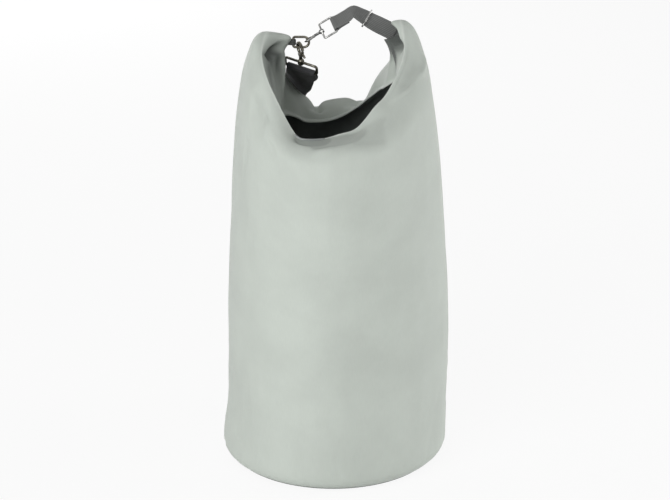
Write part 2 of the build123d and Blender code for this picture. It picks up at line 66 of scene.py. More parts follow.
# ----------------------------------------------------------------------- materials
class Wire:
    """A socket's value inside a material, on which arithmetic adds Math nodes."""

    def __init__(self, graph: "Graph", socket: bpy.types.NodeSocket) -> None:
        """Keeps the socket and the graph that it belongs to."""
        self.graph = graph
        self.socket = socket

    def _math(self, operation: str, first: "Wire | Number", second: "Wire | Number") -> "Wire":
        """The result of one Math node on two operands."""
        return self.graph.node("ShaderNodeMath", {"operation": operation}, {0: first, 1: second})

    def __add__(self, other: "Wire | Number") -> "Wire":
        """Sum."""
        return self._math("ADD", self, other)

    def __radd__(self, other: Number) -> "Wire":
        """Sum with a number on the left."""
        return self._math("ADD", other, self)

    def __sub__(self, other: "Wire | Number") -> "Wire":
        """Difference."""
        return self._math("SUBTRACT", self, other)

    def __rsub__(self, other: Number) -> "Wire":
        """Difference from a number on the left."""
        return self._math("SUBTRACT", other, self)

    def __mul__(self, other: "Wire | Number") -> "Wire":
        """Product."""
        return self._math("MULTIPLY", self, other)

    def __rmul__(self, other: Number) -> "Wire":
        """Product with a number on the left."""
        return self._math("MULTIPLY", other, self)

    def sine(self) -> "Wire":
        """Sine of the value in radians."""
        return self._math("SINE", self, 0.0)

    def absolute(self) -> "Wire":
        """The value without its sign."""
        return self._math("ABSOLUTE", self, 0.0)


class Graph:
    """The nodes of one material or world."""

    def __init__(self, owner: bpy.types.Material | bpy.types.World) -> None:
        """Empties the node tree of its owner."""
        owner.use_nodes = True
        self.owner = owner
        self.tree = owner.node_tree
        self.tree.nodes.clear()

    @classmethod
    def of_material(cls, name: str) -> "Graph":
        """The graph of a new material."""
        return cls(bpy.data.materials.new(name))

    def node(
        self,
        kind: str,
        settings: Mapping[str, object] | None = None,
        values: Mapping[int | str, object] | None = None,
        output: int | str = 0,
    ) -> Wire:
        """Adds one node.

        Args:
            kind: The node's type.
            settings: The node's properties, such as a Math node's operation.
            values: Values or wires for its input sockets, by name or number.
            output: The socket that is returned.

        Returns:
            The output socket as a wire.
        """
        made = self.tree.nodes.new(kind)
        for key, value in (settings or {}).items():
            setattr(made, key, value)
        for key, value in (values or {}).items():
            if isinstance(value, Wire):
                self.tree.links.new(value.socket, made.inputs[key])
            else:
                made.inputs[key].default_value = value
        return Wire(self, made.outputs[output] if len(made.outputs) else None)

    def level(self, factor: Wire, low: float, high: float, to_low: float, to_high: float) -> Wire:
        """The value mapped from one range to another, and held inside it."""
        values = {"Value": factor, 1: low, 2: high, 3: to_low, 4: to_high}
        return self.node("ShaderNodeMapRange", {}, values)

    def cloud(self, place: Wire, scale: float, detail: float = 3.0) -> Wire:
        """Soft noise from 0 to 1."""
        values = {"Vector": place, "Scale": scale, "Detail": detail, "Roughness": 0.55}
        return self.node("ShaderNodeTexNoise", {}, values, "Fac")

    def mixed(self, share: Wire | Number, first: Wire | Colour, second: Wire | Colour) -> Wire:
        """Blend of two colours."""
        sides = [side if isinstance(side, Wire) else (*side, 1.0) for side in (first, second)]
        values = {0: share, 6: sides[0], 7: sides[1]}
        return self.node("ShaderNodeMix", {"data_type": "RGBA"}, values, 2)

    def object_place(self) -> Wire:
        """Place on the piece in metres."""
        return self.node("ShaderNodeTexCoord", {}, {}, "Object")

    def cloth_place(self) -> tuple[Wire, Wire, Wire]:
        """Place on the flat cloth in metres, as a vector, its u and its v."""
        flat = self.node("ShaderNodeUVMap", {"uv_map": "flat"})
        u = self.node("ShaderNodeSeparateXYZ", {}, {0: flat}, "X")
        v = self.node("ShaderNodeSeparateXYZ", {}, {0: flat}, "Y")
        return flat, u, v

    def painted(self, name: str) -> Wire:
        """A value painted on the piece's vertices."""
        return self.node("ShaderNodeAttribute", {"attribute_name": name}, {}, "Fac")

    def stretched(self, place: Wire, scale: Triple) -> Wire:
        """A place scaled by a different amount along each axis."""
        return self.node("ShaderNodeMapping", {}, {"Vector": place, "Scale": scale})

    def bump(self, height: Wire, distance: float, strength: float = 1.0) -> Wire:
        """Normal raised by a height from 0 to 1, where 1 stands out by a distance in metres."""
        values = {"Height": height, "Distance": distance, "Strength": strength}
        return self.node("ShaderNodeBump", {}, values)

    def seen(self) -> Wire:
        """1 or more where a surface is seen directly, in a reflection or through glass."""
        kinds = ("Is Camera Ray", "Is Glossy Ray", "Is Transmission Ray")
        direct, shiny, through = (self.node("ShaderNodeLightPath", {}, {}, kind) for kind in kinds)
        return direct + shiny + through

    def surface(
        self, colour: Wire, roughness: Wire, normal: Wire, fixed: Mapping[str, float]
    ) -> bpy.types.Material:
        """Closes the graph with a Principled surface; fixed values are the same all over."""
        values = {"Base Color": colour, "Roughness": roughness, "Normal": normal, **fixed}
        shader = self.node("ShaderNodeBsdfPrincipled", {}, values)
        self.node("ShaderNodeOutputMaterial", {}, {"Surface": shader})
        return self.owner


@dataclass(frozen=True)
class CoatedFabric:
    """Plain-woven cloth with a matt waterproof coating.

    Attributes:
        name: Material name.
        colour: Cloth colour where it is clean and flat.
        highlight_colour: Colour of the painted highlight along the crest and the hem.
        shade: Colour of the painted shade in creases and under the roll, also tinting the slubs.
        roughness: Surface roughness.
        thread: Pitch of the weave in millimetres.
    """

    name: str
    colour: Colour
    highlight_colour: Colour
    shade: Colour
    roughness: float = 0.62
    thread: float = 0.7

    def material(self) -> bpy.types.Material:
        """Weave, faint mottling, painted shade in creases and under the roll, and a painted
        highlight.
        """
        graph = Graph.of_material(self.name)
        flat, u, v = graph.cloth_place()
        turns = 2 * math.pi / (self.thread * MM)
        weave = (u * turns).sine() * (v * turns).sine()
        slub = graph.cloud(graph.stretched(flat, (900.0, 90.0, 1.0)), 1.0, 2.0)
        mottle = graph.cloud(flat, 14.0, 4.0)
        rumple = graph.cloud(graph.stretched(flat, (26.0, 9.0, 1.0)), 1.0, 5.0)
        # painted shade, read from the vertices' fold values
        fold = graph.painted("fold")
        # painted highlight along the crest and the hem
        painted_highlight = graph.painted("painted_highlight")
        tone = graph.level(mottle, 0.35, 0.65, 0.0, 1.0)
        pale = tuple(min(1.0, channel * 1.035) for channel in self.colour)
        deep = tuple(channel * 0.965 for channel in self.colour)
        base = graph.mixed(tone, deep, pale)
        base = graph.mixed(graph.level(slub, 0.3, 0.7, 0.0, 0.035), base, self.shade)
        # mix in the painted shade, then the painted highlight
        base = graph.mixed(graph.level(fold, 0.0, 1.0, 0.0, 0.95), base, self.shade)
        base = graph.mixed(graph.level(painted_highlight, 0.0, 1.0, 0.0, 0.6), base, self.highlight_colour)
        height = weave * 0.10 + slub * 0.05 + rumple * 0.6
        rough = graph.level(mottle, 0.3, 0.7, self.roughness - 0.05, self.roughness + 0.05)
        fixed = {"Specular IOR Level": 0.35, "Sheen Weight": 0.12, "Sheen Roughness": 0.5}
        return graph.surface(base, rough, graph.bump(height, 0.0009, 0.5), fixed)


@dataclass(frozen=True)
class RubberCoating:
    """Black waterproof coating on the inside of the cloth.

    Attributes:
        name: Material name.
        colour: Its colour.
        roughness: Surface roughness.
    """

    name: str
    colour: Colour
    roughness: float = 0.55

    def material(self) -> bpy.types.Material:
        """Smooth coating with faint orange peel."""
        graph = Graph.of_material(self.name)
        place = graph.object_place()
        peel = graph.cloud(place, 700.0, 2.0)
        wear = graph.cloud(place, 30.0, 3.0)
        pale = tuple(channel * 1.5 for channel in self.colour)
        base = graph.mixed(graph.level(wear, 0.35, 0.7, 0.0, 1.0), self.colour, pale)
        rough = graph.level(wear, 0.3, 0.7, self.roughness - 0.08, self.roughness + 0.08)
        fixed = {"Specular IOR Level": 0.3}
        return graph.surface(base, rough, graph.bump(peel, 0.0001, 0.4), fixed)


@dataclass(frozen=True)
class Webbing:
    """Flat woven webbing with ribs along its length.

    Attributes:
        name: Material name.
        colour: Colour on the ribs.
        groove: Colour between the ribs.
        rib: Pitch of the ribs in millimetres.
        pick: Pitch of the cross threads in millimetres.
        contrast: How strongly the ribs show, from 0 to 1.
    """

    name: str
    colour: Colour
    groove: Colour
    rib: float = 1.9
    pick: float = 0.9
    contrast: float = 0.8

    def material(self) -> bpy.types.Material:
        """Ribs and cross threads in colour and height, on the webbing's own flat map."""
        graph = Graph.of_material(self.name)
        flat, u, v = graph.cloth_place()
        across = u * (math.pi / (self.rib * MM))
        rib = across.sine().absolute()
        pick = (v * (math.pi / (self.pick * MM)) + across).sine().absolute()
        streak = graph.cloud(graph.stretched(flat, (1500.0, 60.0, 1.0)), 1.0, 2.0)
        fuzz = graph.cloud(flat, 2200.0, 1.0)
        share = graph.level(rib * 0.7 + streak * 0.5, 0.2, 0.95, 1.0 - self.contrast, 1.0)
        base = graph.mixed(share, self.groove, self.colour)
        height = rib * 0.6 + pick * 0.35 + fuzz * 0.15
        rough = graph.level(fuzz, 0.3, 0.7, 0.66, 0.84)
        fixed = {"Specular IOR Level": 0.3, "Sheen Weight": 0.15, "Sheen Roughness": 0.4}
        return graph.surface(base, rough, graph.bump(height, 0.0005, 0.7), fixed)


@dataclass(frozen=True)
class Plating:
    """Plated cast or drawn metal.

    Attributes:
        name: Material name.
        colour: Colour of the plating.
        tarnish: Colour of its dull patches.
        roughness: Roughness where it is bright.
        cast: How strongly the casting's grain shows, from 0 to 1.
    """

    name: str
    colour: Colour
    tarnish: Colour
    roughness: float
    cast: float = 0.3

    def material(self) -> bpy.types.Material:
        """Bright metal with dull patches and fine casting grain."""
        graph = Graph.of_material(self.name)
        place = graph.object_place()
        patch = graph.level(graph.cloud(place, 160.0, 4.0), 0.42, 0.68, 0.0, 1.0)
        grain = graph.cloud(place, 1400.0, 2.0)
        scuff = graph.cloud(graph.stretched(place, (900.0, 220.0, 220.0)), 1.0, 3.0)
        base = graph.mixed(patch, self.colour, self.tarnish)
        rough = patch * 0.22 + scuff * 0.12 + self.roughness
        normal = graph.bump(grain + scuff * 0.5, 0.00012, self.cast)
        return graph.surface(base, rough, normal, {"Metallic": 1.0})


class Finish(Enum):
    """The bag's finishes, each with its record slot."""

    # sage cloth, with the colours of its painted highlight and its painted shade
    CLOTH = (
        CoatedFabric("sage_cloth", (0.56, 0.605, 0.555), (0.78, 0.82, 0.77), (0.07, 0.078, 0.072)),
        "coated_fabric",
    )
    LINING = (RubberCoating("black_lining", (0.25, 0.265, 0.26)), "coated_fabric")
    # cut edge, with the colours of its painted highlight and its painted shade
    EDGE = (
        CoatedFabric("cut_edge", (0.66, 0.70, 0.65), (0.80, 0.84, 0.79), (0.20, 0.22, 0.20)),
        "coated_fabric",
    )
    WELD = (RubberCoating("weld_bead", (0.10, 0.115, 0.105), 0.5), "coated_fabric")
    TAPE = (RubberCoating("sealing_tape", (0.03, 0.032, 0.032), 0.35), "seam_tape")
    STIFFENER = (RubberCoating("stiffener_strip", (0.02, 0.02, 0.022), 0.45), "stiffener")
    GREY_WEBBING = (Webbing("grey_webbing", (0.20, 0.205, 0.20), (0.05, 0.053, 0.051)), "webbing")
    # painted shade: a darker copy of the grey webbing, for the left tab that sits in shade
    DARK_WEBBING = (
        Webbing("shaded_grey_webbing", (0.075, 0.078, 0.075), (0.025, 0.026, 0.025)),
        "webbing",
    )
    BLACK_WEBBING = (
        Webbing("black_webbing", (0.06, 0.06, 0.064), (0.02, 0.02, 0.022), 1.4, 1.1, 0.7),
        "strap_webbing",
    )
    GREY_THREAD = (
        Webbing("grey_thread", (0.24, 0.25, 0.24), (0.12, 0.125, 0.12), 0.6, 0.5, 0.5),
        "webbing",
    )
    NICKEL = (Plating("nickel_plate", (0.36, 0.36, 0.35), (0.06, 0.06, 0.06), 0.18, 0.4), "nickel")
    GUNMETAL = (
        Plating("gunmetal_plate", (0.20, 0.19, 0.155), (0.045, 0.04, 0.032), 0.24, 0.6),
        "gunmetal",
    )

    def material(self) -> bpy.types.Material:
        """The finish's material, made once."""
        recipe = self.value[0]
        return bpy.data.materials.get(recipe.name) or recipe.material()

    @property
    def slot(self) -> str:
        """The record's material slot."""
        return self.value[1]


# ------------------------------------------------------------------- mesh helpers
def finished(
    name: str,
    shape: bmesh.types.BMesh,
    finishes: Sequence[Finish],
    body: str = BAG,
    replaces: Sequence[str] = (),
) -> bpy.types.Object:
    """Turns a bmesh into a piece of the bag.

    Args:
        name: The piece's name.
        shape: Its mesh in metres; it is freed.
        finishes: The finishes of its material slots, the main one first.
        body: The body that it rides on.
        replaces: The carried pieces that it stands for.

    Returns:
        The piece.
    """
    mesh = bpy.data.meshes.new(name)
    for polygon in shape.faces:
        polygon.smooth = True
    shape.to_mesh(mesh)
    shape.free()
    for finish in finishes:
        mesh.materials.append(finish.material())
    piece = bpy.data.objects.new(name, mesh)
    bpy.context.scene.collection.objects.link(piece)
    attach(piece, body)
    finishes[0].slot
    if replaces:
        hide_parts(*replaces)
    LOG.info("%s: %d faces", name, len(mesh.polygons))
    return piece


def lofted(
    rings: Sequence[Sequence[Vector]],
    flat: Callable[[int, int], Pair],
    capped: bool,
) -> bmesh.types.BMesh:
    """Extrudes a ring of edges through a row of rings.

    Args:
        rings: The places of each ring's vertices, in metres.
        flat: Gives a vertex's place on the flat cloth from its row and column.
        capped: Whether both ends are closed.

    Returns:
        The mesh, with its faces all turned the same way.
    """
    shape = bmesh.new()
    column = shape.verts.layers.int.new("column")
    row = shape.verts.layers.int.new("row")
    count = len(rings[0])
    ring = bmesh.ops.create_circle(shape, segments=count, radius=1.0)["verts"]
    for number, vertex in enumerate(ring):
        vertex[column] = number
        vertex.co = rings[0][number]
    edges = list(shape.edges)
    first_edges = list(edges)
    for level in range(1, len(rings)):
        grown = bmesh.ops.extrude_edge_only(shape, edges=edges)["geom"]
        new = [item for item in grown if isinstance(item, bmesh.types.BMVert)]
        for vertex in new:
            vertex.co = rings[level][vertex[column]]
            vertex[row] = level
        edges = [item for item in grown if isinstance(item, bmesh.types.BMEdge)]
        edges = [edge for edge in edges if edge.verts[0][row] == edge.verts[1][row] == level]
    if capped:
        bmesh.ops.edgeloop_fill(shape, edges=first_edges)
        bmesh.ops.edgeloop_fill(shape, edges=edges)
    layer = shape.loops.layers.uv.new("flat")
    for polygon in shape.faces:
        columns = [loop.vert[column] for loop in polygon.loops]
        wraps = max(columns) - min(columns) > count // 2 and len(polygon.loops) == 4
        for loop in polygon.loops:
            number = loop.vert[column]
            if wraps and number == 0:
                number = count
            loop[layer].uv = flat(loop.vert[row], number)
    bmesh.ops.recalc_face_normals(shape, faces=shape.faces)
    return shape


def smooth_path(
    stops: Sequence[Vector], spans: Sequence[float], counts: Sequence[int]
) -> list[Vector]:
    """A smooth curve through stops that may lie at uneven distances.

    Args:
        stops: The values that the curve passes.
        spans: Distance along the path from each stop to the next.
        counts: Pieces between each stop and the next.

    Returns:
        Values along the curve, ends included.
    """
    rates = [(after - before) / span for before, after, span in zip(stops, stops[1:], spans)]
    slopes = [rates[0]]
    for (before, after), (near, far) in zip(zip(rates, rates[1:]), zip(spans, spans[1:])):
        slopes.append((before * far + after * near) / (near + far))
    slopes.append(rates[-1])
    path = []
    for number, (span, count) in enumerate(zip(spans, counts)):
        start, end = stops[number], stops[number + 1]
        for step in range(count):
            t = step / count
            leaving = slopes[number] * span * (t**3 - 2 * t**2 + t)
            arriving = slopes[number + 1] * span * (t**3 - t**2)
            share = ease(t)
            path.append(start * (1 - share) + end * share + leaving + arriving)
    path.append(stops[-1].copy())
    return path


def ease(value: float) -> float:
    """Smooth step from 0 to 1."""
    held = min(1.0, max(0.0, value))
    return held * held * (3 - 2 * held)


# ------------------------------------------------------------------- the bag's form
@dataclass(frozen=True)
class Crease:
    """A groove pressed into the cloth along a line, or a raised fold if its depth is negative, with
    painted shade along it.

    Places are (compass angle in degrees, distance from the crest in millimetres): positive down
    the outside of the bag, negative down the turned-in band.

    Attributes:
        start: Where it begins.
        end: Where it ends.
        depth: How deep it is at its middle.
        width: Distance from its line at which it has nearly gone.
        sharp: Whether its bottom is a narrow fold instead of a soft hollow.
        shade: How much painted shade it lays on the cloth, from 0 to 1.
        fade: Share of its length over which each end runs out.
        sinks: Whether the cloth sinks straight down instead of into its face.
        even: Whether it is an even facet with a crisp edge.
        reach: How many widths away it stops being felt.
    """

    start: Pair
    end: Pair
    depth: float
    width: float
    sharp: bool = False
    shade: float = 0.0
    fade: float = 0.35
    sinks: bool = False
    even: bool = False
    reach: float = 3.5

    def strength(self, angle: float, drop: float, per_degree: float) -> float:
        """How much of the crease is felt at a place on the cloth.

        Args:
            angle: Compass angle.
            drop: Distance from the crest.
            per_degree: Millimetres of cloth per degree.

        Returns:
            A share from 0 to 1.
        """
        turn = (angle - self.start[0] + 180) % 360 - 180
        here = Vector((turn * per_degree, drop - self.start[1]))
        along = (self.end[0] - self.start[0] + 180) % 360 - 180
        line = Vector((along * per_degree, self.end[1] - self.start[1]))
        length = max(line.length, 0.001)
        share = here.dot(line) / length**2
        held = min(1.0, max(0.0, share))
        distance = (here - line * held).length / self.width
        if distance > self.reach:
            return 0.0
        ends = ease(min(held, 1 - held) / self.fade) if self.fade else 1.0
        ends = 0.15 + 0.85 * ends if self.fade else ends
        if self.even:
            return ends * (1 - ease((distance - 0.82) / 0.36))
        if self.sharp:
            return ends / (1 + (1.6 * distance) ** 2) * ease((self.reach - distance) / 2)
        return ends * math.exp(-(distance**2))


@dataclass
class BagForm:
    """The shape of the fabric: a swelling cylinder with a saddle mouth whose rim is turned in.

    Attributes:
        base_radius: Radius of the welded base seam.
        seam_height: Height of the wall's lower edge.
        mouth_x: How far the mouth's axis is to the right of the base's.
        fabric: Thickness of the cloth.
        bulge: Height, then reach to the left, to the right and to the front.
        lower_wall: The same higher up.
        upper_wall: The same higher still.
        lean: How the wall leans inwards at the fold below the crest.
        lean_handle: Length of the wall's curve handle there.
        mouth: (reach, height) of fold, crest, middle of the band, and hem, in even steps of the
            compass angle from the right-hand seam.
        shoulder_pull: How far the outside keeps level before the crest, by compass angle.
        roll_pull: How far the roll keeps level past the crest, by compass angle.
        tuck: How far the cloth turns back outwards under the roll, by compass angle.
        sharpness: 0 where the crest is a round roll, 1 where it is a pressed fold.
        creases: Creases and folds pressed into the cloth, most of them with painted shade.
        swells: Height, swells round the bag, length down the wall and place in the noise of
            the broad swells, the fine ones, and the crinkles near the base.
        under_roll_shade: Painted shade on the cloth deep under the roll, from 0 to 1.
        steps: Steps along each of the section's five curves.
        hem_bead: How far the sewn hem stands out.
        rim_reach: Distance below the crest up to which creases are measured along the rim.
        rim_pitch: Millimetres of cloth per degree along the rim.
        wall_pitch: Millimetres of cloth per degree on the wall.
    """

    base_radius: float = 129.0
    seam_height: float = 3.0
    mouth_x: float = 3.5
    fabric: float = 1.5
    bulge: Ring = (42.0, 140.5, 139.5, 141.0)
    lower_wall: Ring = (115.0, 126.0, 137.0, 140.0)
    upper_wall: Ring = (210.0, 144.5, 150.5, 145.0)
    lean: Pair = (-0.27, 1.0)
    lean_handle: float = 50.0
    mouth: tuple[tuple[Pair, Pair, Pair, Pair], ...] = (
        ((107, 505), (76, 555), (57, 531), (84, 482)),
        ((120, 480), (82, 526), (73, 508), (64, 464)),
        ((132, 450), (95, 490), (85, 475), (78, 454)),
        ((142, 420), (112, 443), (98, 437), (88, 429)),
        ((146, 402), (121, 425), (106, 418), (95, 404)),
        ((142, 408), (110, 437), (94, 426), (84, 405)),
        ((134, 440), (96, 472), (77, 452), (66, 419)),
        ((122, 475), (88, 512), (73, 485), (66, 430)),
        ((107, 505), (82, 541), (61, 514), (66, 434)),
        ((112, 490), (94, 519), (86, 506), (66, 430)),
        ((125, 452), (102, 484), (90, 458), (76, 417)),
        ((134, 418), (107, 443), (98, 426), (89, 393)),
        ((139, 418), (96, 442), (90, 425), (86, 392)),
        ((136, 428), (92, 460), (86, 440), (82, 405)),
        ((128, 450), (88, 488), (81, 464), (76, 430)),
        ((119, 480), (86, 524), (80, 512), (70, 455)),
    )
    shoulder_pull: Table = (
        (0, 0.3), (20, 0.3), (45, 0.2), (90, 0.24), (135, 0.2), (165, 0.34), (190, 0.4),
        (200, 0.2), (225, 0.08), (270, 0.12), (315, 0.1), (345, 0.2), (360, 0.3),
    )
    roll_pull: Table = (
        (0, 1.1), (10, 1.0), (24, 0.4), (45, 0.15), (90, 0.2), (135, 0.2), (158, 0.5), (168, 1.0),
        (176, 1.5), (184, 1.6), (190, 1.6), (196, 0.9), (200, 0.1), (225, 0.05), (315, 0.05),
        (340, 0.1), (348, 0.8), (360, 1.1),
    )
    tuck: Table = (
        (0, 56), (8, 36), (20, 0), (160, 0), (174, 5), (181, 5), (190, 34), (196, 22), (200, 0),
        (338, 0), (347, 30), (354, 54), (360, 56),
    )
    sharpness: Table = (
        (0, 0.0), (24, 0.2), (50, 0.6), (90, 0.5), (135, 0.6), (160, 0.2), (178, 0.0), (192, 0.0),
        (201, 0.7), (225, 0.85), (270, 0.75), (320, 0.8), (342, 0.6), (352, 0.1), (360, 0.0),
    )
    creases: tuple[Crease, ...] = (
        # front: angular rim, and a facet below it darkened with painted shade, ending in a soft
        # fold
        Crease((245, 5), (245, -5), 4.0, 10, fade=0, sinks=True),
        Crease((284, 5), (284, -5), 4.0, 12, fade=0, sinks=True),
        Crease((300, 5), (300, -5), -3.0, 10, fade=0, sinks=True),
        Crease((249, 3), (262, 8), 1.3, 8.5, shade=0.50, fade=0, even=True),
        Crease((263, 11), (282, 16), 1.3, 12, shade=0.28, fade=0, even=True),
        Crease((281, 16), (299, 34), 0.8, 16, shade=0.10, fade=0.1, even=True),
        Crease((256, 25), (270, 31), -2.0, 6),
        Crease((268, 31), (300, 62), -1.6, 8),
        # hollow under the left shoulder, with faint painted shade
        Crease((210, 22), (230, 34), 7.0, 13, shade=0.04),
        Crease((208, 42), (232, 52), 4.0, 12, shade=0.02),
        Crease((226, 44), (240, 46), 2.5, 7, shade=0.01),
        # right shoulder: rolled edge and facet with painted shade, and the fold up to the
        # silhouette
        Crease((308, 6), (350, 6), 1.4, 2.2, sharp=True, shade=0.07),
        Crease((316, 14), (346, 20), 3.2, 10, shade=0.11),
        Crease((309, 10), (330, 26), -3.2, 4, sharp=True),
        Crease((328, 24), (354, 44), -4.0, 5, sharp=True),
        # ridge down the band at the left seam, painted shade under the roll above it, and a groove
        # with painted shade
        Crease((181, -60), (182, -125), -0.8, 5, sharp=True, fade=0.15),
        Crease((195, -14), (207, -18), 0.0, 14, shade=0.60, fade=0),
        Crease((182, -60), (194, -52), 2.0, 5, sharp=True, shade=0.1),
        # right band: painted shade under the roll, and a pleat below it
        Crease((-16, -30), (0, -66), 0.0, 12, shade=0.60, fade=0.1),
        Crease((-4, -80), (14, -52), 6.0, 5, sharp=True, fade=0.2),
        # back: two pleats through the crest and down the band, with faint painted shade
        Crease((102.5, 16), (102.5, -14), 14.0, 8.5, sharp=True, fade=0, sinks=True),
        Crease((102, -2), (111, -28), 3.0, 5, sharp=True, shade=0.05),
        Crease((102, 4), (101, 30), 2.5, 7, shade=0.02),
        Crease((73, 14), (73, -10), 13.0, 11, fade=0, sinks=True),
        Crease((78, -4), (84, -22), 1.6, 6, shade=0.02),
        Crease((60, 5), (60, -5), -8.0, 15, fade=0, sinks=True),
        Crease((128, 5), (128, -5), -6.0, 14, fade=0, sinks=True),
        Crease((48, -10), (41, -16), 1.6, 3, sharp=True, shade=0.02),
        # faint upright folds down the front-left and the low body, the first with faint painted
        # shade
        Crease((214, 70), (211, 170), 0.9, 5, shade=0.01),
        Crease((330, 110), (326, 300), 1.2, 14),
        Crease((20, 120), (26, 320), 1.4, 16),
        Crease((150, 100), (158, 300), 1.6, 16),
        Crease((95, 150), (84, 330), 1.3, 18),
    )
    swells: tuple[tuple[float, float, float, float, float], ...] = (
        (1.5, 2.6, 150.0, 0.0, 0.0),
        (0.5, 9.0, 60.0, 5.0, 2.0),
        (0.7, 26.0, 16.0, 1.0, 7.0),
    )
    under_roll_shade: float = 0.95
    steps: tuple[int, int, int, int, int] = (8, 56, 30, 24, 20)
    hem_bead: float = 2.6
    rim_reach: float = 25.0
    rim_pitch: float = 1.6
    wall_pitch: float = 2.35

    def reach(self, ring: Sequence[float], angle: float) -> float:
        """The wall's distance from the mouth's axis, at bulge, lower_wall or upper_wall."""
        left, right, depth = ring[1:]
        turn = math.radians(angle)
        side = (left + right) / 2
        swing = (side - depth) / 2 * math.cos(2 * turn)
        return (side + depth) / 2 + swing + (right - left) / 2 * math.cos(turn)

    def seam_reach(self, angle: float) -> float:
        """Distance of the base seam from the mouth's axis."""
        turn = math.radians(angle)
        across = math.sqrt(self.base_radius**2 - (self.mouth_x * math.sin(turn)) ** 2)
        return across - self.mouth_x * math.cos(turn)

    def mouth_at(self, angle: float) -> list[Vector]:
        """The four named places of the mouth at any compass angle, on a smooth curve."""
        step = 360 / len(self.mouth)
        place = angle / step
        first = math.floor(place)
        t = place - first
        named = [self.mouth[(first + move) % len(self.mouth)] for move in (-1, 0, 1, 2)]
        weights = (
            (-(t**3) + 2 * t**2 - t) / 2,
            (3 * t**3 - 5 * t**2 + 2) / 2,
            (-3 * t**3 + 4 * t**2 + t) / 2,
            (t**3 - t**2) / 2,
        )
        return [
            sum((Vector(pairs[row]) * w for w, pairs in zip(weights, named)), Vector((0, 0)))
            for row in range(4)
        ]

    @staticmethod
    def around(table: Table, angle: float) -> float:
        """Smooth value at a compass angle of a table of compass angles and values."""
        turn = angle % 360
        for (start, low), (end, high) in zip(table, table[1:]):
            if turn <= end:
                break
        return low + (high - low) * ease((turn - start) / (end - start))

    @staticmethod
    def handled(
        start: Vector, leaving: Vector, end: Vector, arriving: Vector, pulls: Pair
    ) -> list[Vector]:
        """Bezier points of a curve that leaves and arrives in the given directions."""
        gap = (end - start).length
        first = start + leaving.normalized() * gap * pulls[0]
        return [start, first, end - arriving.normalized() * gap * pulls[1], end]

    def wall_curves(self, angle: float) -> list[list[Vector]]:
        """Bezier points of the section's curves: seam to bulge, wall, shoulder, turn-in, band."""
        fold, crest, band, hem = self.mouth_at(angle)
        sharp = self.around(self.sharpness, angle)
        shoulder_pull = self.around(self.shoulder_pull, angle)
        roll_pull = self.around(self.roll_pull, angle)
        seam = Vector((self.seam_reach(angle), self.seam_height))
        bulge = Vector((self.reach(self.bulge, angle), self.bulge[0]))
        tuck = self.around(self.tuck, angle)
        hang = hem - band
        drop = (hem - crest).normalized().lerp(hang.normalized(), min(1.0, tuck / 12))
        lean = Vector(self.lean)
        wall = [
            bulge,
            Vector((self.reach(self.lower_wall, angle), self.lower_wall[0])),
            Vector((self.reach(self.upper_wall, angle), self.upper_wall[0])),
            fold - lean.normalized() * self.lean_handle,
            fold,
        ]
        over = Vector((-1, 0.02)).lerp((crest - fold).normalized(), sharp)
        back = Vector((-1, -0.10)).lerp(drop.normalized(), sharp)
        turn_in = self.handled(crest, back, band, drop, (roll_pull, 0.42))
        turn_in[2] += Vector((tuck, 0))
        return [
            self.handled(seam, Vector((1, 0.6)), bulge, Vector((0, 1)), (0.46, 0.46)),
            wall,
            self.handled(fold, lean, crest, over, (0.42, shoulder_pull)),
            turn_in,
            self.handled(band, drop, hem, hang, (0.36, 0.36)),
        ]

    @staticmethod
    def on_bezier(points: Sequence[Vector], share: float) -> tuple[Vector, Vector]:
        """Place and slope at a share along a Bezier curve."""
        level = [point.copy() for point in points]
        slope = Vector((0, 1))
        while len(level) > 1:
            if len(level) == 2:
                slope = (level[1] - level[0]).normalized()
            level = [a.lerp(b, share) for a, b in zip(level, level[1:])]
        return level[0], slope

    def section(self, angle: float) -> list[tuple[Vector, Vector, float]]:
        """The uncreased section: each row's place, direction out, and distance from the crest."""
        rows = []
        for points, steps in zip(self.wall_curves(angle), self.steps):
            rows += [self.on_bezier(points, step / steps) for step in range(steps)]
        rows.append(self.on_bezier(points, 1.0))
        lengths = [0.0]
        for (before, _), (after, _) in zip(rows, rows[1:]):
            lengths.append(lengths[-1] + (after - before).length)
        return [
            (place, Vector((slope.y, -slope.x)), lengths[self.crest_row()] - length)
            for (place, slope), length in zip(rows, lengths)
        ]

    def ripple(self, angle: float, drop: float) -> float:
        """Small uneven swells of slack cloth, in millimetres."""
        turn = math.radians(angle)
        around = Vector((math.cos(turn), math.sin(turn), 0))
        low = ease((drop - 20) / 120)
        near_base = ease((drop - 380) / 70)
        height = 0.0
        for felt, (swell, pace, length, x, y) in zip((low, 0.4 + low, near_base), self.swells):
            height += swell * felt * noise.noise(around * pace + Vector((x, y, drop / length)))
        return height

    def hidden(self, row: int, angle: float) -> float:
        """Painted shade for a row, by how deep it lies under the roll or just inside a pressed
        crest, from 0 to 1.
        """
        past = row - self.crest_row()
        if past <= 0:
            return 0.0
        fourth, fifth = self.steps[3:]
        share = past / fourth
        depth = ease((share - 0.35) / 0.3) * (1 - ease((past - fourth) / (0.6 * fifth)))
        tucked = self.under_roll_shade * min(1.0, self.around(self.tuck, angle) / 34) * depth
        lip = 0.25 * self.around(self.sharpness, angle) * math.exp(-(((past - 4) / 3) ** 2))
        return max(tucked, lip)

    def row_count(self) -> int:
        """Rows of vertices up the wall, over the crest and down the band."""
        return sum(self.steps) + 1

    def crest_row(self) -> int:
        """The row that runs along the crest."""
        return sum(self.steps[:3])

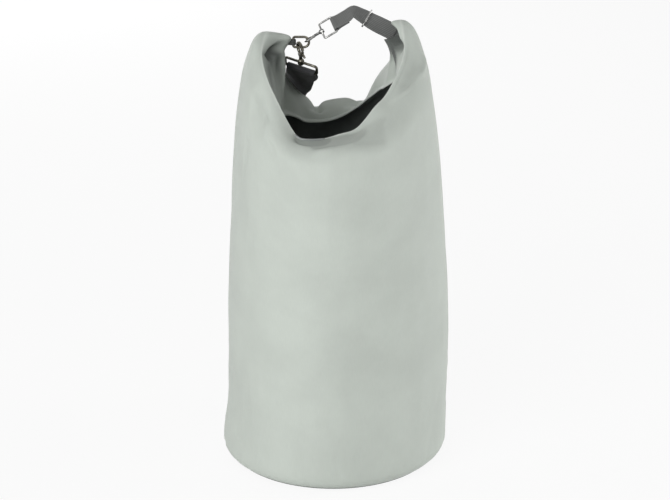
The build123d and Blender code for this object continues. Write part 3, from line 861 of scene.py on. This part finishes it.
    def cloth(self, angle: float, inset: float = 0.0) -> list[Station]:
        """The creased cloth at one compass angle.

        Args:
            angle: Compass angle.
            inset: Distance behind the cloth's outer face, in millimetres.

        Returns:
            For each row: place in metres, distance from the crest, and painted shade from 0 to 1.
        """
        turn = math.radians(angle)
        outwards = Vector((math.cos(turn), math.sin(turn), 0))
        result = []
        rows = self.section(angle)
        hem = rows[-1][2]
        for row, (place, out, drop) in enumerate(rows):
            per_degree = self.wall_pitch if drop > self.rim_reach else self.rim_pitch
            # painted shade: under the roll, just inside pressed crests, and along the creases
            push, sink, facet, shade = 0.0, 0.0, 0.0, self.hidden(row, angle)
            for crease in self.creases:
                felt = crease.strength(angle, drop, per_degree)
                if crease.even:
                    shade = max(shade, felt * crease.shade)
                    facet = max(facet, felt * crease.depth)
                    continue
                shade += felt * crease.shade
                if crease.sinks:
                    sink += felt * crease.depth
                else:
                    push += felt * crease.depth
            held = ease((place.y - self.seam_height) / 18)
            push += facet - self.ripple(angle, drop) * held
            push -= self.hem_bead * ease((hem + 5 - drop) / 3)
            moved = place - out * (push + inset) - Vector((0, sink))
            spot = (outwards * moved.x + Vector((self.mouth_x, 0, moved.y))) * MM
            result.append((spot, drop, min(1.0, shade)))
        return result


@dataclass
class FabricShell:
    """The fabric wall, its side seams, hidden strips and tapes.

    Attributes:
        form: The bag's form.
        columns: Sections round the bag.
        girth: Cloth round the wall for each millimetre of base seam.
        highlight_width: Distance from the crest at which its painted highlight has nearly gone.
        plain_rows: Rows between which the wall faces straight outwards.
        tape_gap: Room between the cloth and a seam's tape.
        tape_width: Width of that tape.
        tape_thickness: Its thickness.
        weld: Half the extent of a side seam's outer weld, in degrees, and its two insets.
        stiffener_gap: Room between the cloth and a stiffener.
        stiffener_thickness: Thickness of a stiffener.
    """

    form: BagForm
    columns: int = 288
    girth: float = 1.09
    highlight_width: float = 1.7
    plain_rows: Pair = (10, 40)
    tape_gap: float = 0.8
    tape_width: float = 14.0
    tape_thickness: float = 0.6
    weld: Triple = (1.6, -0.28, 0.4)
    stiffener_gap: float = 0.4
    stiffener_thickness: float = 1.4

    def build(self) -> None:
        """Builds every piece of the shell."""
        self.wall()
        for side, angle in (("back", 90.0), ("front", 270.0)):
            self.stiffener(side, angle)
        for side, angle in (("right", 0.0), ("left", 180.0)):
            self.seam(side, angle)
        self.rear_patch()

    def wall(self) -> None:
        """The creased cloth from the base seam over the crest to the hem."""
        columns = [self.form.cloth(360 * number / self.columns) for number in range(self.columns)]
        rows = self.form.row_count()
        rings = [[column[row][0] for column in columns] for row in range(rows)]
        around = math.tau * self.form.base_radius * self.girth * MM
        first = columns[0]

        def flat(row: int, column: int) -> Pair:
            """Place on the flat cloth."""
            return column / self.columns * around, first[0][1] * MM - first[row][1] * MM

        shape = lofted(rings, flat, capped=False)
        self.paint(shape, columns)
        self.face_outwards(shape)
        finishes = [Finish.CLOTH, Finish.LINING, Finish.EDGE]
        carried = ["front_panel", "back_panel"]
        piece = finished("fabric_wall", shape, finishes, replaces=carried)
        solid = piece.modifiers.new("thickness", "SOLIDIFY")
        solid.thickness = self.form.fabric * MM
        solid.offset = -1.0
        solid.use_even_offset = False
        solid.material_offset = 1
        solid.material_offset_rim = 2

    def paint(self, shape: bmesh.types.BMesh, columns: Sequence[list[Station]]) -> None:
        """Writes the painted shade and the painted highlight along the crest and the hem on the
        vertices.
        """
        column = shape.verts.layers.int["column"]
        row = shape.verts.layers.int["row"]
        fold = shape.verts.layers.float.new("fold")
        painted_highlight = shape.verts.layers.float.new("painted_highlight")
        last = self.form.row_count() - 1
        for vertex in shape.verts:
            _, drop, shade = columns[vertex[column]][vertex[row]]
            # painted shade from the form, then a painted highlight along the crest and the hem
            vertex[fold] = shade
            near_crest = math.exp(-((drop / self.highlight_width) ** 2))
            near_hem = ease((vertex[row] - last + 3) / 3)
            vertex[painted_highlight] = min(1.0, 0.8 * near_crest + near_hem)

    def face_outwards(self, shape: bmesh.types.BMesh) -> None:
        """Turns every face of the open shell to the cloth's outer side."""
        row = shape.verts.layers.int["row"]
        first, last = self.plain_rows
        total = 0.0
        for polygon in shape.faces:
            if first < polygon.verts[0][row] < last:
                middle = polygon.calc_center_median()
                total += polygon.normal.dot(Vector((middle.x, middle.y, 0)))
        if total < 0:
            bmesh.ops.reverse_faces(shape, faces=shape.faces)

    def strip(
        self,
        name: str,
        extent: tuple[float, float, int],
        rows: range,
        insets: Pair,
        finish: Finish,
        replaces: Sequence[str] = (),
        corner: int = 0,
        cell: Pair = (2.0, 3.0),
    ) -> None:
        """A flat strip that follows the cloth.

        Args:
            name: The piece's name.
            extent: Compass angle of its middle, half its extent in degrees, and its sections.
            rows: The form's rows that it covers.
            insets: Distance of its two faces behind the cloth's outer face.
            finish: Its finish.
            replaces: The carried pieces that it stands for.
            corner: Rows by which its rounded corners are cut back.
            cell: Size of one of its faces on the flat cloth, in millimetres.
        """
        middle, half, sections = extent
        rings = []
        for section in range(sections):
            share = 2 * section / (sections - 1) - 1
            near, far = (self.form.cloth(middle + half * share, inset) for inset in insets)
            edge = min(1.0, 4 * (1 - abs(share)))
            cut = round(corner * (1 - math.sqrt(max(0.0, 1 - (1 - edge) ** 2))))
            covered = [min(max(row, rows[0] + cut), rows[-1] - cut) for row in rows]
            back = reversed(covered)
            rings.append([near[row][0] for row in covered] + [far[row][0] for row in back])

        def flat(row: int, column: int) -> Pair:
            """Place on the strip."""
            return column * cell[0] * MM, row * cell[1] * MM

        shape = lofted(rings, flat, capped=True)
        bmesh.ops.remove_doubles(shape, verts=shape.verts, dist=2 * MERGED)
        finished(name, shape, [finish], replaces=replaces)

    def stiffener(self, side: str, middle: float) -> None:
        """The strip behind one half of the hem."""
        near = self.form.fabric + self.stiffener_gap
        insets = (near, near + self.stiffener_thickness)
        last = self.form.row_count() - 1
        rows, carried = range(last - 8, last), [f"{side}_mouth_stiffener"]
        name = f"{side}_stiffener_strip"
        self.strip(name, (middle, 90.0, 73), rows, insets, Finish.STIFFENER, carried)

    def seam(self, side: str, middle: float) -> None:
        """Sealing tape inside a side seam, and the narrow pressed weld on its outside."""
        near = self.form.fabric + self.tape_gap
        half = math.degrees(self.tape_width / 2 / self.form.base_radius)
        start = self.form.steps[0] // 2
        rows = range(start, start + round(self.form.steps[1] * 0.8), 2)
        insets = (near, near + self.tape_thickness)
        name, carried = f"{side}_sealing_tape", [f"{side}_seam_tape"]
        self.strip(name, (middle, half, 9), rows, insets, Finish.TAPE, carried)
        rows = range(1, self.form.crest_row() - 2)
        half, *insets = self.weld
        self.strip(f"{side}_side_weld", (middle, half, 7), rows, insets, Finish.CLOTH)

    def rear_patch(self) -> None:
        """Reinforcing patch behind the rear tab, with rounded corners."""
        first = self.form.steps[0] + 8
        name, extent, rows = "rear_anchor_patch", (90.0, 11.25, 25), range(first, first + 27)
        carried, insets, cell = ["rear_patch"], (-1.3, -0.05), (2.6, 2.3)
        self.strip(name, extent, rows, insets, Finish.CLOTH, carried, 7, cell)


@dataclass
class WeldedBase:
    """Round base panel with its upturned rim, weld bead and inner tape.

    Attributes:
        radius: Outer radius of the wall's lower edge.
        fabric: Thickness of the cloth.
        gap: Room between the wall and the rim.
        corner: Radius where the base turns up.
        rim_height: Height of the rim.
        bead: Height of the weld bead's middle, and half its width and height.
        waves: How high the panel's faint waves are, and how close together.
        segments: Faces round the base.
    """

    radius: float = 129.0
    fabric: float = 1.5
    gap: float = 0.9
    corner: float = 9.0
    rim_height: float = 14.0
    bead: Triple = (2.8, 1.05, 0.85)
    waves: Pair = (0.9, 55.0)
    segments: int = 160

    def spun(self, profile: Sequence[Pair], wavy: bool = False) -> bmesh.types.BMesh:
        """Spins a profile of (reach, height) in millimetres about the base's axis."""
        shape = bmesh.new()
        points = [shape.verts.new(Vector((reach, 0, height)) * MM) for reach, height in profile]
        edges = [shape.edges.new(pair) for pair in zip(points, points[1:])]
        about = {"cent": (0, 0, 0), "axis": (0, 0, 1), "angle": math.tau}
        bmesh.ops.spin(shape, geom=points + edges, steps=self.segments, use_merge=True, **about)
        bmesh.ops.remove_doubles(shape, verts=shape.verts, dist=MERGED)
        wave, pace = self.waves
        for vertex in shape.verts if wavy else ():
            reach = vertex.co.xy.length / MM
            share = ease((self.radius - self.rim_height - reach) / 30)
            vertex.co.z += max(0.0, noise.noise(vertex.co * pace) * wave * share) * MM
        layer = shape.loops.layers.uv.new("flat")
        for polygon in shape.faces:
            for loop in polygon.loops:
                loop[layer].uv = (loop.vert.co.x, loop.vert.co.y)
        bmesh.ops.recalc_face_normals(shape, faces=shape.faces)
        return shape

    def build(self) -> None:
        """Builds the panel, its tape and the weld bead under the wall's lower edge."""
        rim = self.radius - self.fabric - self.gap
        turn = [math.radians(90 * step / 6) for step in range(7)]
        start = rim - self.corner
        under = [(start + self.corner * math.sin(a), self.corner * (1 - math.cos(a))) for a in turn]
        inner = self.corner - self.fabric
        over = [(start + inner * math.sin(a), self.corner - inner * math.cos(a)) for a in turn]
        floor = [rim * 0.86 * step / 6 for step in range(7)]
        profile = [(reach, 0.0) for reach in floor] + under
        profile += [(rim, self.rim_height), (rim - self.fabric, self.rim_height)]
        profile += over[::-1] + [(reach, self.fabric) for reach in floor[::-1]]
        panel = self.spun(profile, wavy=True)
        finished("base_disc", panel, [Finish.CLOTH], replaces=["base_panel"])

        face = rim - self.fabric - 0.1
        top = self.rim_height
        tape = [(face, self.corner), (face, top + 0.1), (face + 4.6, top + 7.6)]
        tape += [(face + 4.2, top + 7.8), (face - 0.55, top + 0.3), (face - 0.55, self.corner)]
        tape.append(tape[0])
        finished("base_sealing_tape", self.spun(tape), [Finish.TAPE], replaces=["base_seam_tape"])

        reach = self.radius - self.fabric * 0.75
        height, wide, high = self.bead
        turns = [math.tau * step / 10 for step in range(11)]
        bead = [(reach + wide * math.cos(a), height + high * math.sin(a)) for a in turns]
        finished("base_weld_bead", self.spun(bead), [Finish.WELD])


# ------------------------------------------------------------------------ webbing
@dataclass
class Ribbon:
    """Flat webbing along a path.

    Attributes:
        name: The piece's name.
        stops: Middle and direction of its width along the path, in millimetres.
        width: Width of the webbing.
        thickness: Thickness of one layer.
        finish: Its finish.
        pitch: Length of one piece of the sweep.
        crown: Share of its thickness by which it is thinner at its edges.
    """

    name: str
    stops: list[Stop]
    width: float
    thickness: float
    finish: Finish
    pitch: float = 2.0
    crown: float = 0.06

    def outline(self) -> list[Pair]:
        """The webbing's section: a flat with rounded selvedges."""
        half = self.width / 2
        lift = self.thickness / 2
        rows = 10
        flat = [-half + lift + (self.width - 2 * lift) * step / rows for step in range(rows + 1)]
        points = [(across, lift * (1 - self.crown * (abs(across) / half) ** 4)) for across in flat]
        for side, ordered in ((1, (60, 30, 0, -30, -60)), (-1, (-60, -30, 0, 30, 60))):
            if side == -1:
                points += [(across, -lift) for across in reversed(flat)]
            for turn in ordered:
                angle = math.radians(turn)
                edge = half - lift + lift * math.cos(angle)
                points.append((side * edge, lift * math.sin(angle)))
        return points

    def build(self, carried: str) -> None:
        """Sweeps the section along the path, in place of a carried piece."""
        places = [stop[0] for stop in self.stops]
        spans = [(after - before).length for before, after in zip(places, places[1:])]
        counts = [max(2, round(span / self.pitch)) for span in spans]
        middles = smooth_path(places, spans, counts)
        acrosses = smooth_path([stop[1].normalized() for stop in self.stops], spans, counts)
        section = self.outline()
        rings, lengths = [], [0.0]
        for number, (middle, across) in enumerate(zip(middles, acrosses)):
            before = middles[max(number - 1, 0)]
            after = middles[min(number + 1, len(middles) - 1)]
            onward = (after - before).normalized()
            wide = (across - onward * across.dot(onward)).normalized()
            out = onward.cross(wide)
            rings.append([(middle + wide * x + out * y) * MM for x, y in section])
            if number:
                lengths.append(lengths[-1] + (middle - middles[number - 1]).length)

        def flat(row: int, column: int) -> Pair:
            """Place on the flat webbing."""
            return section[column % len(section)][0] * MM, lengths[row] * MM

        shape = lofted(rings, flat, capped=True)
        finished(self.name, shape, [self.finish], replaces=[carried])


def placed(*stops: tuple[Triple, Triple]) -> list[Stop]:
    """Stops of webbing from plain numbers."""
    return [(Vector(middle), Vector(across)) for middle, across in stops]


def looped(
    bar: Triple, onward: Triple, across: Triple, wire: float, thickness: float, tail: float
) -> list[Stop]:
    """Stops of webbing whose end comes round a bar and lies sewn under itself.

    Args:
        bar: Middle of the bar.
        onward: The direction in which the webbing leaves.
        across: The direction of the bar.
        wire: Radius of the bar.
        thickness: Thickness of the webbing.
        tail: Length of the sewn tail.

    Returns:
        Stops from the tail's end, round the bar, to the end of the doubled part.
    """
    bar = Vector(bar)
    across = Vector(across).normalized()
    onward = Vector(onward)
    onward = (onward - across * onward.dot(across)).normalized()
    up = across.cross(onward)
    round_bar, between = 0.25, 0.04  # room round the bar, and half the room between the layers
    bend = wire + round_bar + thickness / 2
    lift = thickness / 2 + between
    closing = (bend * 1.5, lift + (bend - lift) * 0.35)
    half = [(tail, lift), ((tail + 2 * bend) / 2, lift), closing]
    turns = [math.radians(turn) for turn in (-75, -120, -180, -240, -285)]
    side = [(reach, -height) for reach, height in half]
    side += [(bend * math.cos(turn), bend * math.sin(turn)) for turn in turns]
    side += half[::-1]
    return [(bar + onward * reach + up * height, across) for reach, height in side]


@dataclass
class Stitching:
    """Rows of short thread stitches.

    Attributes:
        name: The piece's name.
        finish: Thread finish.
        pitch: Distance from one stitch to the next.
        length: Length of a stitch.
        radius: Radius of the thread.
    """

    name: str
    finish: Finish
    pitch: float = 3.0
    length: float = 2.3
    radius: float = 0.3

    def build(self, rows: Sequence[Row]) -> None:
        """Lays stitches along rows of start, end and direction out, in millimetres."""
        shape = bmesh.new()
        for start, end, out in rows:
            run = end - start
            count = max(1, round(run.length / self.pitch))
            x_axis = run.normalized()
            z_axis = (out - x_axis * out.dot(x_axis)).normalized()
            turn = Matrix((x_axis, z_axis.cross(x_axis), z_axis)).transposed().to_4x4()
            size = Matrix.Diagonal((self.length / 2, self.radius, self.radius * 0.7, 1.0))
            for number in range(count):
                middle = start + run * (number + 0.5) / count
                matrix = Matrix.Translation(middle * MM) @ turn @ Matrix.Scale(MM, 4) @ size
                bmesh.ops.create_uvsphere(
                    shape, u_segments=6, v_segments=4, radius=1.0, matrix=matrix
                )
        shape.loops.layers.uv.new("flat")
        finished(self.name, shape, [self.finish])


def boxed(middle: Vector, along: Vector, across: Vector, out: Vector) -> list[Row]:
    """Rows of a box stitch, from its middle and the vectors of half its length and width."""
    signs = ((-1, -1), (1, -1), (1, 1), (-1, 1))
    corner = [middle + along * ahead + across * aside for ahead, aside in signs]
    pairs = ((0, 1), (1, 2), (2, 3), (3, 0), (0, 2), (1, 3))
    return [(corner[start], corner[end], out) for start, end in pairs]


@dataclass
class Straps:
    """All webbing: closure, shoulder strap and the two ring tabs.

    Attributes:
        closure_bar: Middle of the closure frame's bar.
        closure_across: Direction of that bar.
        upper_bar: Middle of the upper clasp's bar.
        upper_across: Direction of that bar.
        lower_bar: Middle of the lower clasp's bar.
        left_ring: Middle of the left ring's straight side.
        rear_ring: Middle of the rear ring's straight side.
        strap_top: Where the shoulder strap starts its straight run.
        strap_foot: Where that run ends.
        run_across: Direction of the strap's width on that run.
        closure_width: Width of the closure webbing.
        tab_widths: Widths of the left and the rear tab.
        foot_bend: Radius of the strap's turn below the lower clasp.
        strap_width: Width of the shoulder strap.
        strap_thickness: Its thickness.
        webbing_thickness: Thickness of the other webbing.
        closure_wire: Radius of the closure frame's bar.
        clasp_wire: Radius of a strap clasp's bar.
        ring_wire: Radius of a ring's wire.
    """

    closure_bar: Triple = (1.6, 5.0, 548.86)
    closure_across: Triple = (0.3, -0.81, -0.495)
    upper_bar: Triple = (-38.28, 19.24, 489.7)
    upper_across: Triple = (0.88, -0.45, -0.179)
    lower_bar: Triple = (0.0, 152.0, 48.1)
    left_ring: Triple = (-47.5, 5.0, 526.7)
    rear_ring: Triple = (0.0, 152.0, 98.0)
    strap_top: Triple = (-52.0, 166.5, 350.0)
    strap_foot: Triple = (0.0, 174.0, 40.6)
    run_across: Triple = (0.986, 0.0, 0.163)
    closure_width: float = 20.0
    tab_widths: Pair = (7.0, 16.0)
    foot_bend: float = 11.0
    strap_width: float = 38.0
    strap_thickness: float = 2.0
    webbing_thickness: float = 1.6
    closure_wire: float = 1.19
    clasp_wire: float = 1.9 * 0.85
    ring_wire: float = 1.5

    def build(self) -> None:
        """Builds every strap and its sewing."""
        self.closure()
        self.shoulder()
        self.tabs()

    def closure(self) -> None:
        """Webbing from the closure clasp over the top to the right mouth corner."""
        thick = self.webbing_thickness
        leaves = (0.855, 0.0, 0.518)
        bar, across = self.closure_bar, self.closure_across
        stops = looped(bar, leaves, across, self.closure_wire, thick, 17.0)
        stops += placed(
            ((24.0, 3.5, 564.0), (0.1, -0.85, -0.5)),
            ((34.0, 1.5, 560.0), (-0.3, -0.75, -0.58)),
            ((46.0, 0.0, 553.0), (-0.3, -0.5, -0.8)),
            ((58.0, 1.5, 546.5), (-0.25, -0.2, -0.93)),
            ((74.5, 5.0, 537.5), (-0.2, -0.1, -0.95)),
        )
        width = self.closure_width
        ribbon = Ribbon("closure_strap", stops, width, thick, Finish.GREY_WEBBING)
        ribbon.build("closure_webbing")

    def shoulder(self) -> None:
        """Shoulder strap from the upper clasp, over the back crest and down to the lower clasp."""
        thick, wire = self.strap_thickness, self.clasp_wire
        stops = looped(self.upper_bar, (0.1, 0.85, -0.52), self.upper_across, wire, thick, 7.0)
        stops += placed(
            ((-39.8, 44.0, 476.5), (0.90, -0.235, -0.363)),
            ((-41.4, 66.0, 466.5), (0.757, 0.257, -0.60)),
            ((-43.8, 92.0, 454.0), (0.66, 0.336, -0.70)),
            ((-49.0, 113.5, 442.5), (0.68, 0.36, -0.64)),
            ((-54.5, 133.5, 425.5), (0.82, 0.28, -0.46)),
            ((-57.0, 152.0, 397.0), (0.95, 0.14, -0.26)),
            (self.strap_top, self.run_across),
        )
        top, foot, level = Vector(self.strap_top), Vector(self.strap_foot), Vector((1, 0, 0))
        for share in (0.12, 0.3, 0.5, 0.7, 0.88, 1.0):
            stops.append((top.lerp(foot, share), Vector(self.run_across)))
        for turn in (30, 60, 90, 120, 150):
            angle = math.radians(turn)
            round_foot = Vector((0, math.cos(angle) - 1, -math.sin(angle)))
            stops.append((foot + round_foot * self.foot_bend, level))
        end = looped(self.lower_bar, (0, 0, -1), (-1, 0, 0), wire, thick, 7.5)
        stops += [(place, level) for place, _ in reversed(end)]
        finish = Finish.BLACK_WEBBING
        ribbon = Ribbon("carry_strap", stops, self.strap_width, thick, finish, 3.0)
        ribbon.build("shoulder_strap")

    def tabs(self) -> None:
        """Folded webbing that holds each ring, and the rear tab's box stitch."""
        thick, wire = self.webbing_thickness, self.ring_wire
        narrow, wide = self.tab_widths
        left = looped(self.left_ring, (-1, 0, 0), (0, 0, 1), wire, thick, 20.0)
        # the left tab takes the grey webbing darkened with painted shade
        Ribbon("left_ring_tab", left, narrow, thick, Finish.DARK_WEBBING).build("left_tab")
        lean, out = (0, -0.105, 1), Vector((0, 1, 0.105))
        rear = looped(self.rear_ring, lean, (1, 0, 0), wire, thick, 48.0)
        Ribbon("rear_ring_tab", rear, wide, thick, Finish.GREY_WEBBING).build("rear_tab")
        up = Vector(lean).normalized()
        middle = Vector(self.rear_ring) + up * 34 + out.normalized() * 1.75
        rows = boxed(middle, up * 9, Vector((6, 0, 0)), out)
        Stitching("rear_tab_sewing", Finish.GREY_THREAD).build(rows)


@dataclass
class Hardware:
    """Plated hardware: smooth copies of the carried metal pieces.

    Attributes:
        clasp_parts: The pieces of each clasp, in the order in which they are plated.
        crease_angle: Angle above which an edge stays sharp, in degrees.
    """

    clasp_parts: tuple[str, ...] = ("hook", "pin", "lever", "frame")
    crease_angle: float = 38.0

    def clasp(self, name: str) -> list[str]:
        """The carried pieces of one clasp."""
        return [f"{name}_{part}" for part in self.clasp_parts]

    def build(self) -> None:
        """Plates every piece."""
        nickel = [*self.clasp("closure"), "closure_slider"]
        clasps = [*self.clasp("upper_clasp"), *self.clasp("lower_clasp")]
        gunmetal = ["left_ring", "rear_ring", *clasps, "strap_adjuster"]
        for finish, nodes in ((Finish.NICKEL, nickel), (Finish.GUNMETAL, gunmetal)):
            for node in nodes:
                body = BAG if node.endswith("_frame") else node.replace("_pin", "_hook")
                self.plated(node, body, finish)

    def plated(self, node: str, body: str, finish: Finish) -> None:
        """A merged, smooth-shaded copy of a carried piece, which rides on a body."""
        shape = bmesh.new()
        shape.from_mesh(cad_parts[node].data)
        bmesh.ops.remove_doubles(shape, verts=shape.verts, dist=MERGED)
        piece = finished(f"{node}_plated", shape, [finish], body, [node])
        piece.data.set_sharp_from_angle(angle=math.radians(self.crease_angle))


# --------------------------------------------------------------------------- studio
@dataclass
class Studio:
    """Pale floor, soft lamps and the camera.

    Attributes:
        ambient: Strength of the even light from all round.
        lamps: (name, place, size, power), all aimed at the bag's middle, in metres and watts.
        aim: The bag's middle.
        stand: Where the camera stands.
        tilt: The camera's tilt from straight down, in degrees.
        lens: Its focal length.
        sensor: Width of its sensor.
        floor_half: Half the floor's side.
    """

    ambient: float = 0.34
    lamps: tuple[tuple[str, Triple, float, float], ...] = (
        ("key", (-1.5, -2.3, 1.1), 1.8, 50.0),
        ("fill", (2.6, 0.2, 0.45), 0.9, 31.0),
        ("rear", (-0.8, 2.6, 0.9), 1.4, 16.0),
    )
    aim: Triple = (0.0, 0.0, 0.28)
    stand: Triple = (0.00227, -2.34923, 1.11992)
    tilt: float = 70.0
    lens: float = 108.94
    sensor: float = 36.0
    floor_half: float = 14.0

    def build(self) -> None:
        """Builds floor, world, lamps and camera."""
        self.floor()
        self.world()
        for name, place, size, power in self.lamps:
            self.lamp(name, place, size, power)
        self.camera()
        bpy.context.scene.view_settings.view_transform = "Standard"

    def floor(self) -> None:
        """A wide pale floor that looks white and keeps the bag's shadow."""
        shape = bmesh.new()
        bmesh.ops.create_grid(shape, x_segments=2, y_segments=2, size=self.floor_half)
        mesh = bpy.data.meshes.new("floor")
        shape.to_mesh(mesh)
        shape.free()
        graph = Graph.of_material("pale_floor")
        glow = graph.node("ShaderNodeEmission", {}, {"Color": (1, 1, 1, 1), "Strength": 1.0})
        matt = graph.node("ShaderNodeBsdfDiffuse", {}, {"Color": (0.9, 0.9, 0.9, 1)})
        share = graph.level(graph.seen(), 0.0, 1.0, 0.0, 0.9)
        surface = graph.node("ShaderNodeMixShader", {}, {0: share, 1: matt, 2: glow})
        graph.node("ShaderNodeOutputMaterial", {}, {"Surface": surface})
        mesh.materials.append(graph.owner)
        floor = bpy.data.objects.new("floor", mesh)
        bpy.context.scene.collection.objects.link(floor)

    def world(self) -> None:
        """Even light, with white behind it for what is seen directly or in a reflection."""
        world = bpy.data.worlds.new("studio")
        bpy.context.scene.world = world
        graph = Graph(world)
        strength = graph.level(graph.seen(), 0.0, 1.0, self.ambient, 1.0)
        values = {"Color": (1, 1, 1, 1), "Strength": strength}
        sky = graph.node("ShaderNodeBackground", {}, values)
        graph.node("ShaderNodeOutputWorld", {}, {"Surface": sky})

    def lamp(self, name: str, place: Triple, size: float, power: float) -> None:
        """One soft square lamp, aimed at the bag's middle."""
        light = bpy.data.lights.new(name, "AREA")
        light.size = size
        light.energy = power
        lamp = bpy.data.objects.new(name, light)
        lamp.location = place
        toward = Vector(self.aim) - Vector(place)
        lamp.rotation_euler = toward.to_track_quat("-Z", "Y").to_euler()
        bpy.context.scene.collection.objects.link(lamp)

    def camera(self) -> None:
        """A long lens, twenty degrees above the bag's middle."""
        lens = bpy.data.cameras.new("camera")
        lens.lens = self.lens
        lens.sensor_width = self.sensor
        lens.clip_end = 60.0
        camera = bpy.data.objects.new("camera", lens)
        camera.location = self.stand
        camera.rotation_euler = (math.radians(self.tilt), 0.0, 0.0)
        bpy.context.scene.collection.objects.link(camera)
        bpy.context.scene.camera = camera


def main() -> None:
    """Builds the bag in order."""
    logging.basicConfig(level=logging.INFO, format="%(name)s %(message)s")
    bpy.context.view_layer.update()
    form = BagForm()
    FabricShell(form).build()
    WeldedBase().build()
    Straps().build()
    Hardware().build()
    Studio().build()
    bpy.context.view_layer.update()


if __name__ == "__main__":
    main()
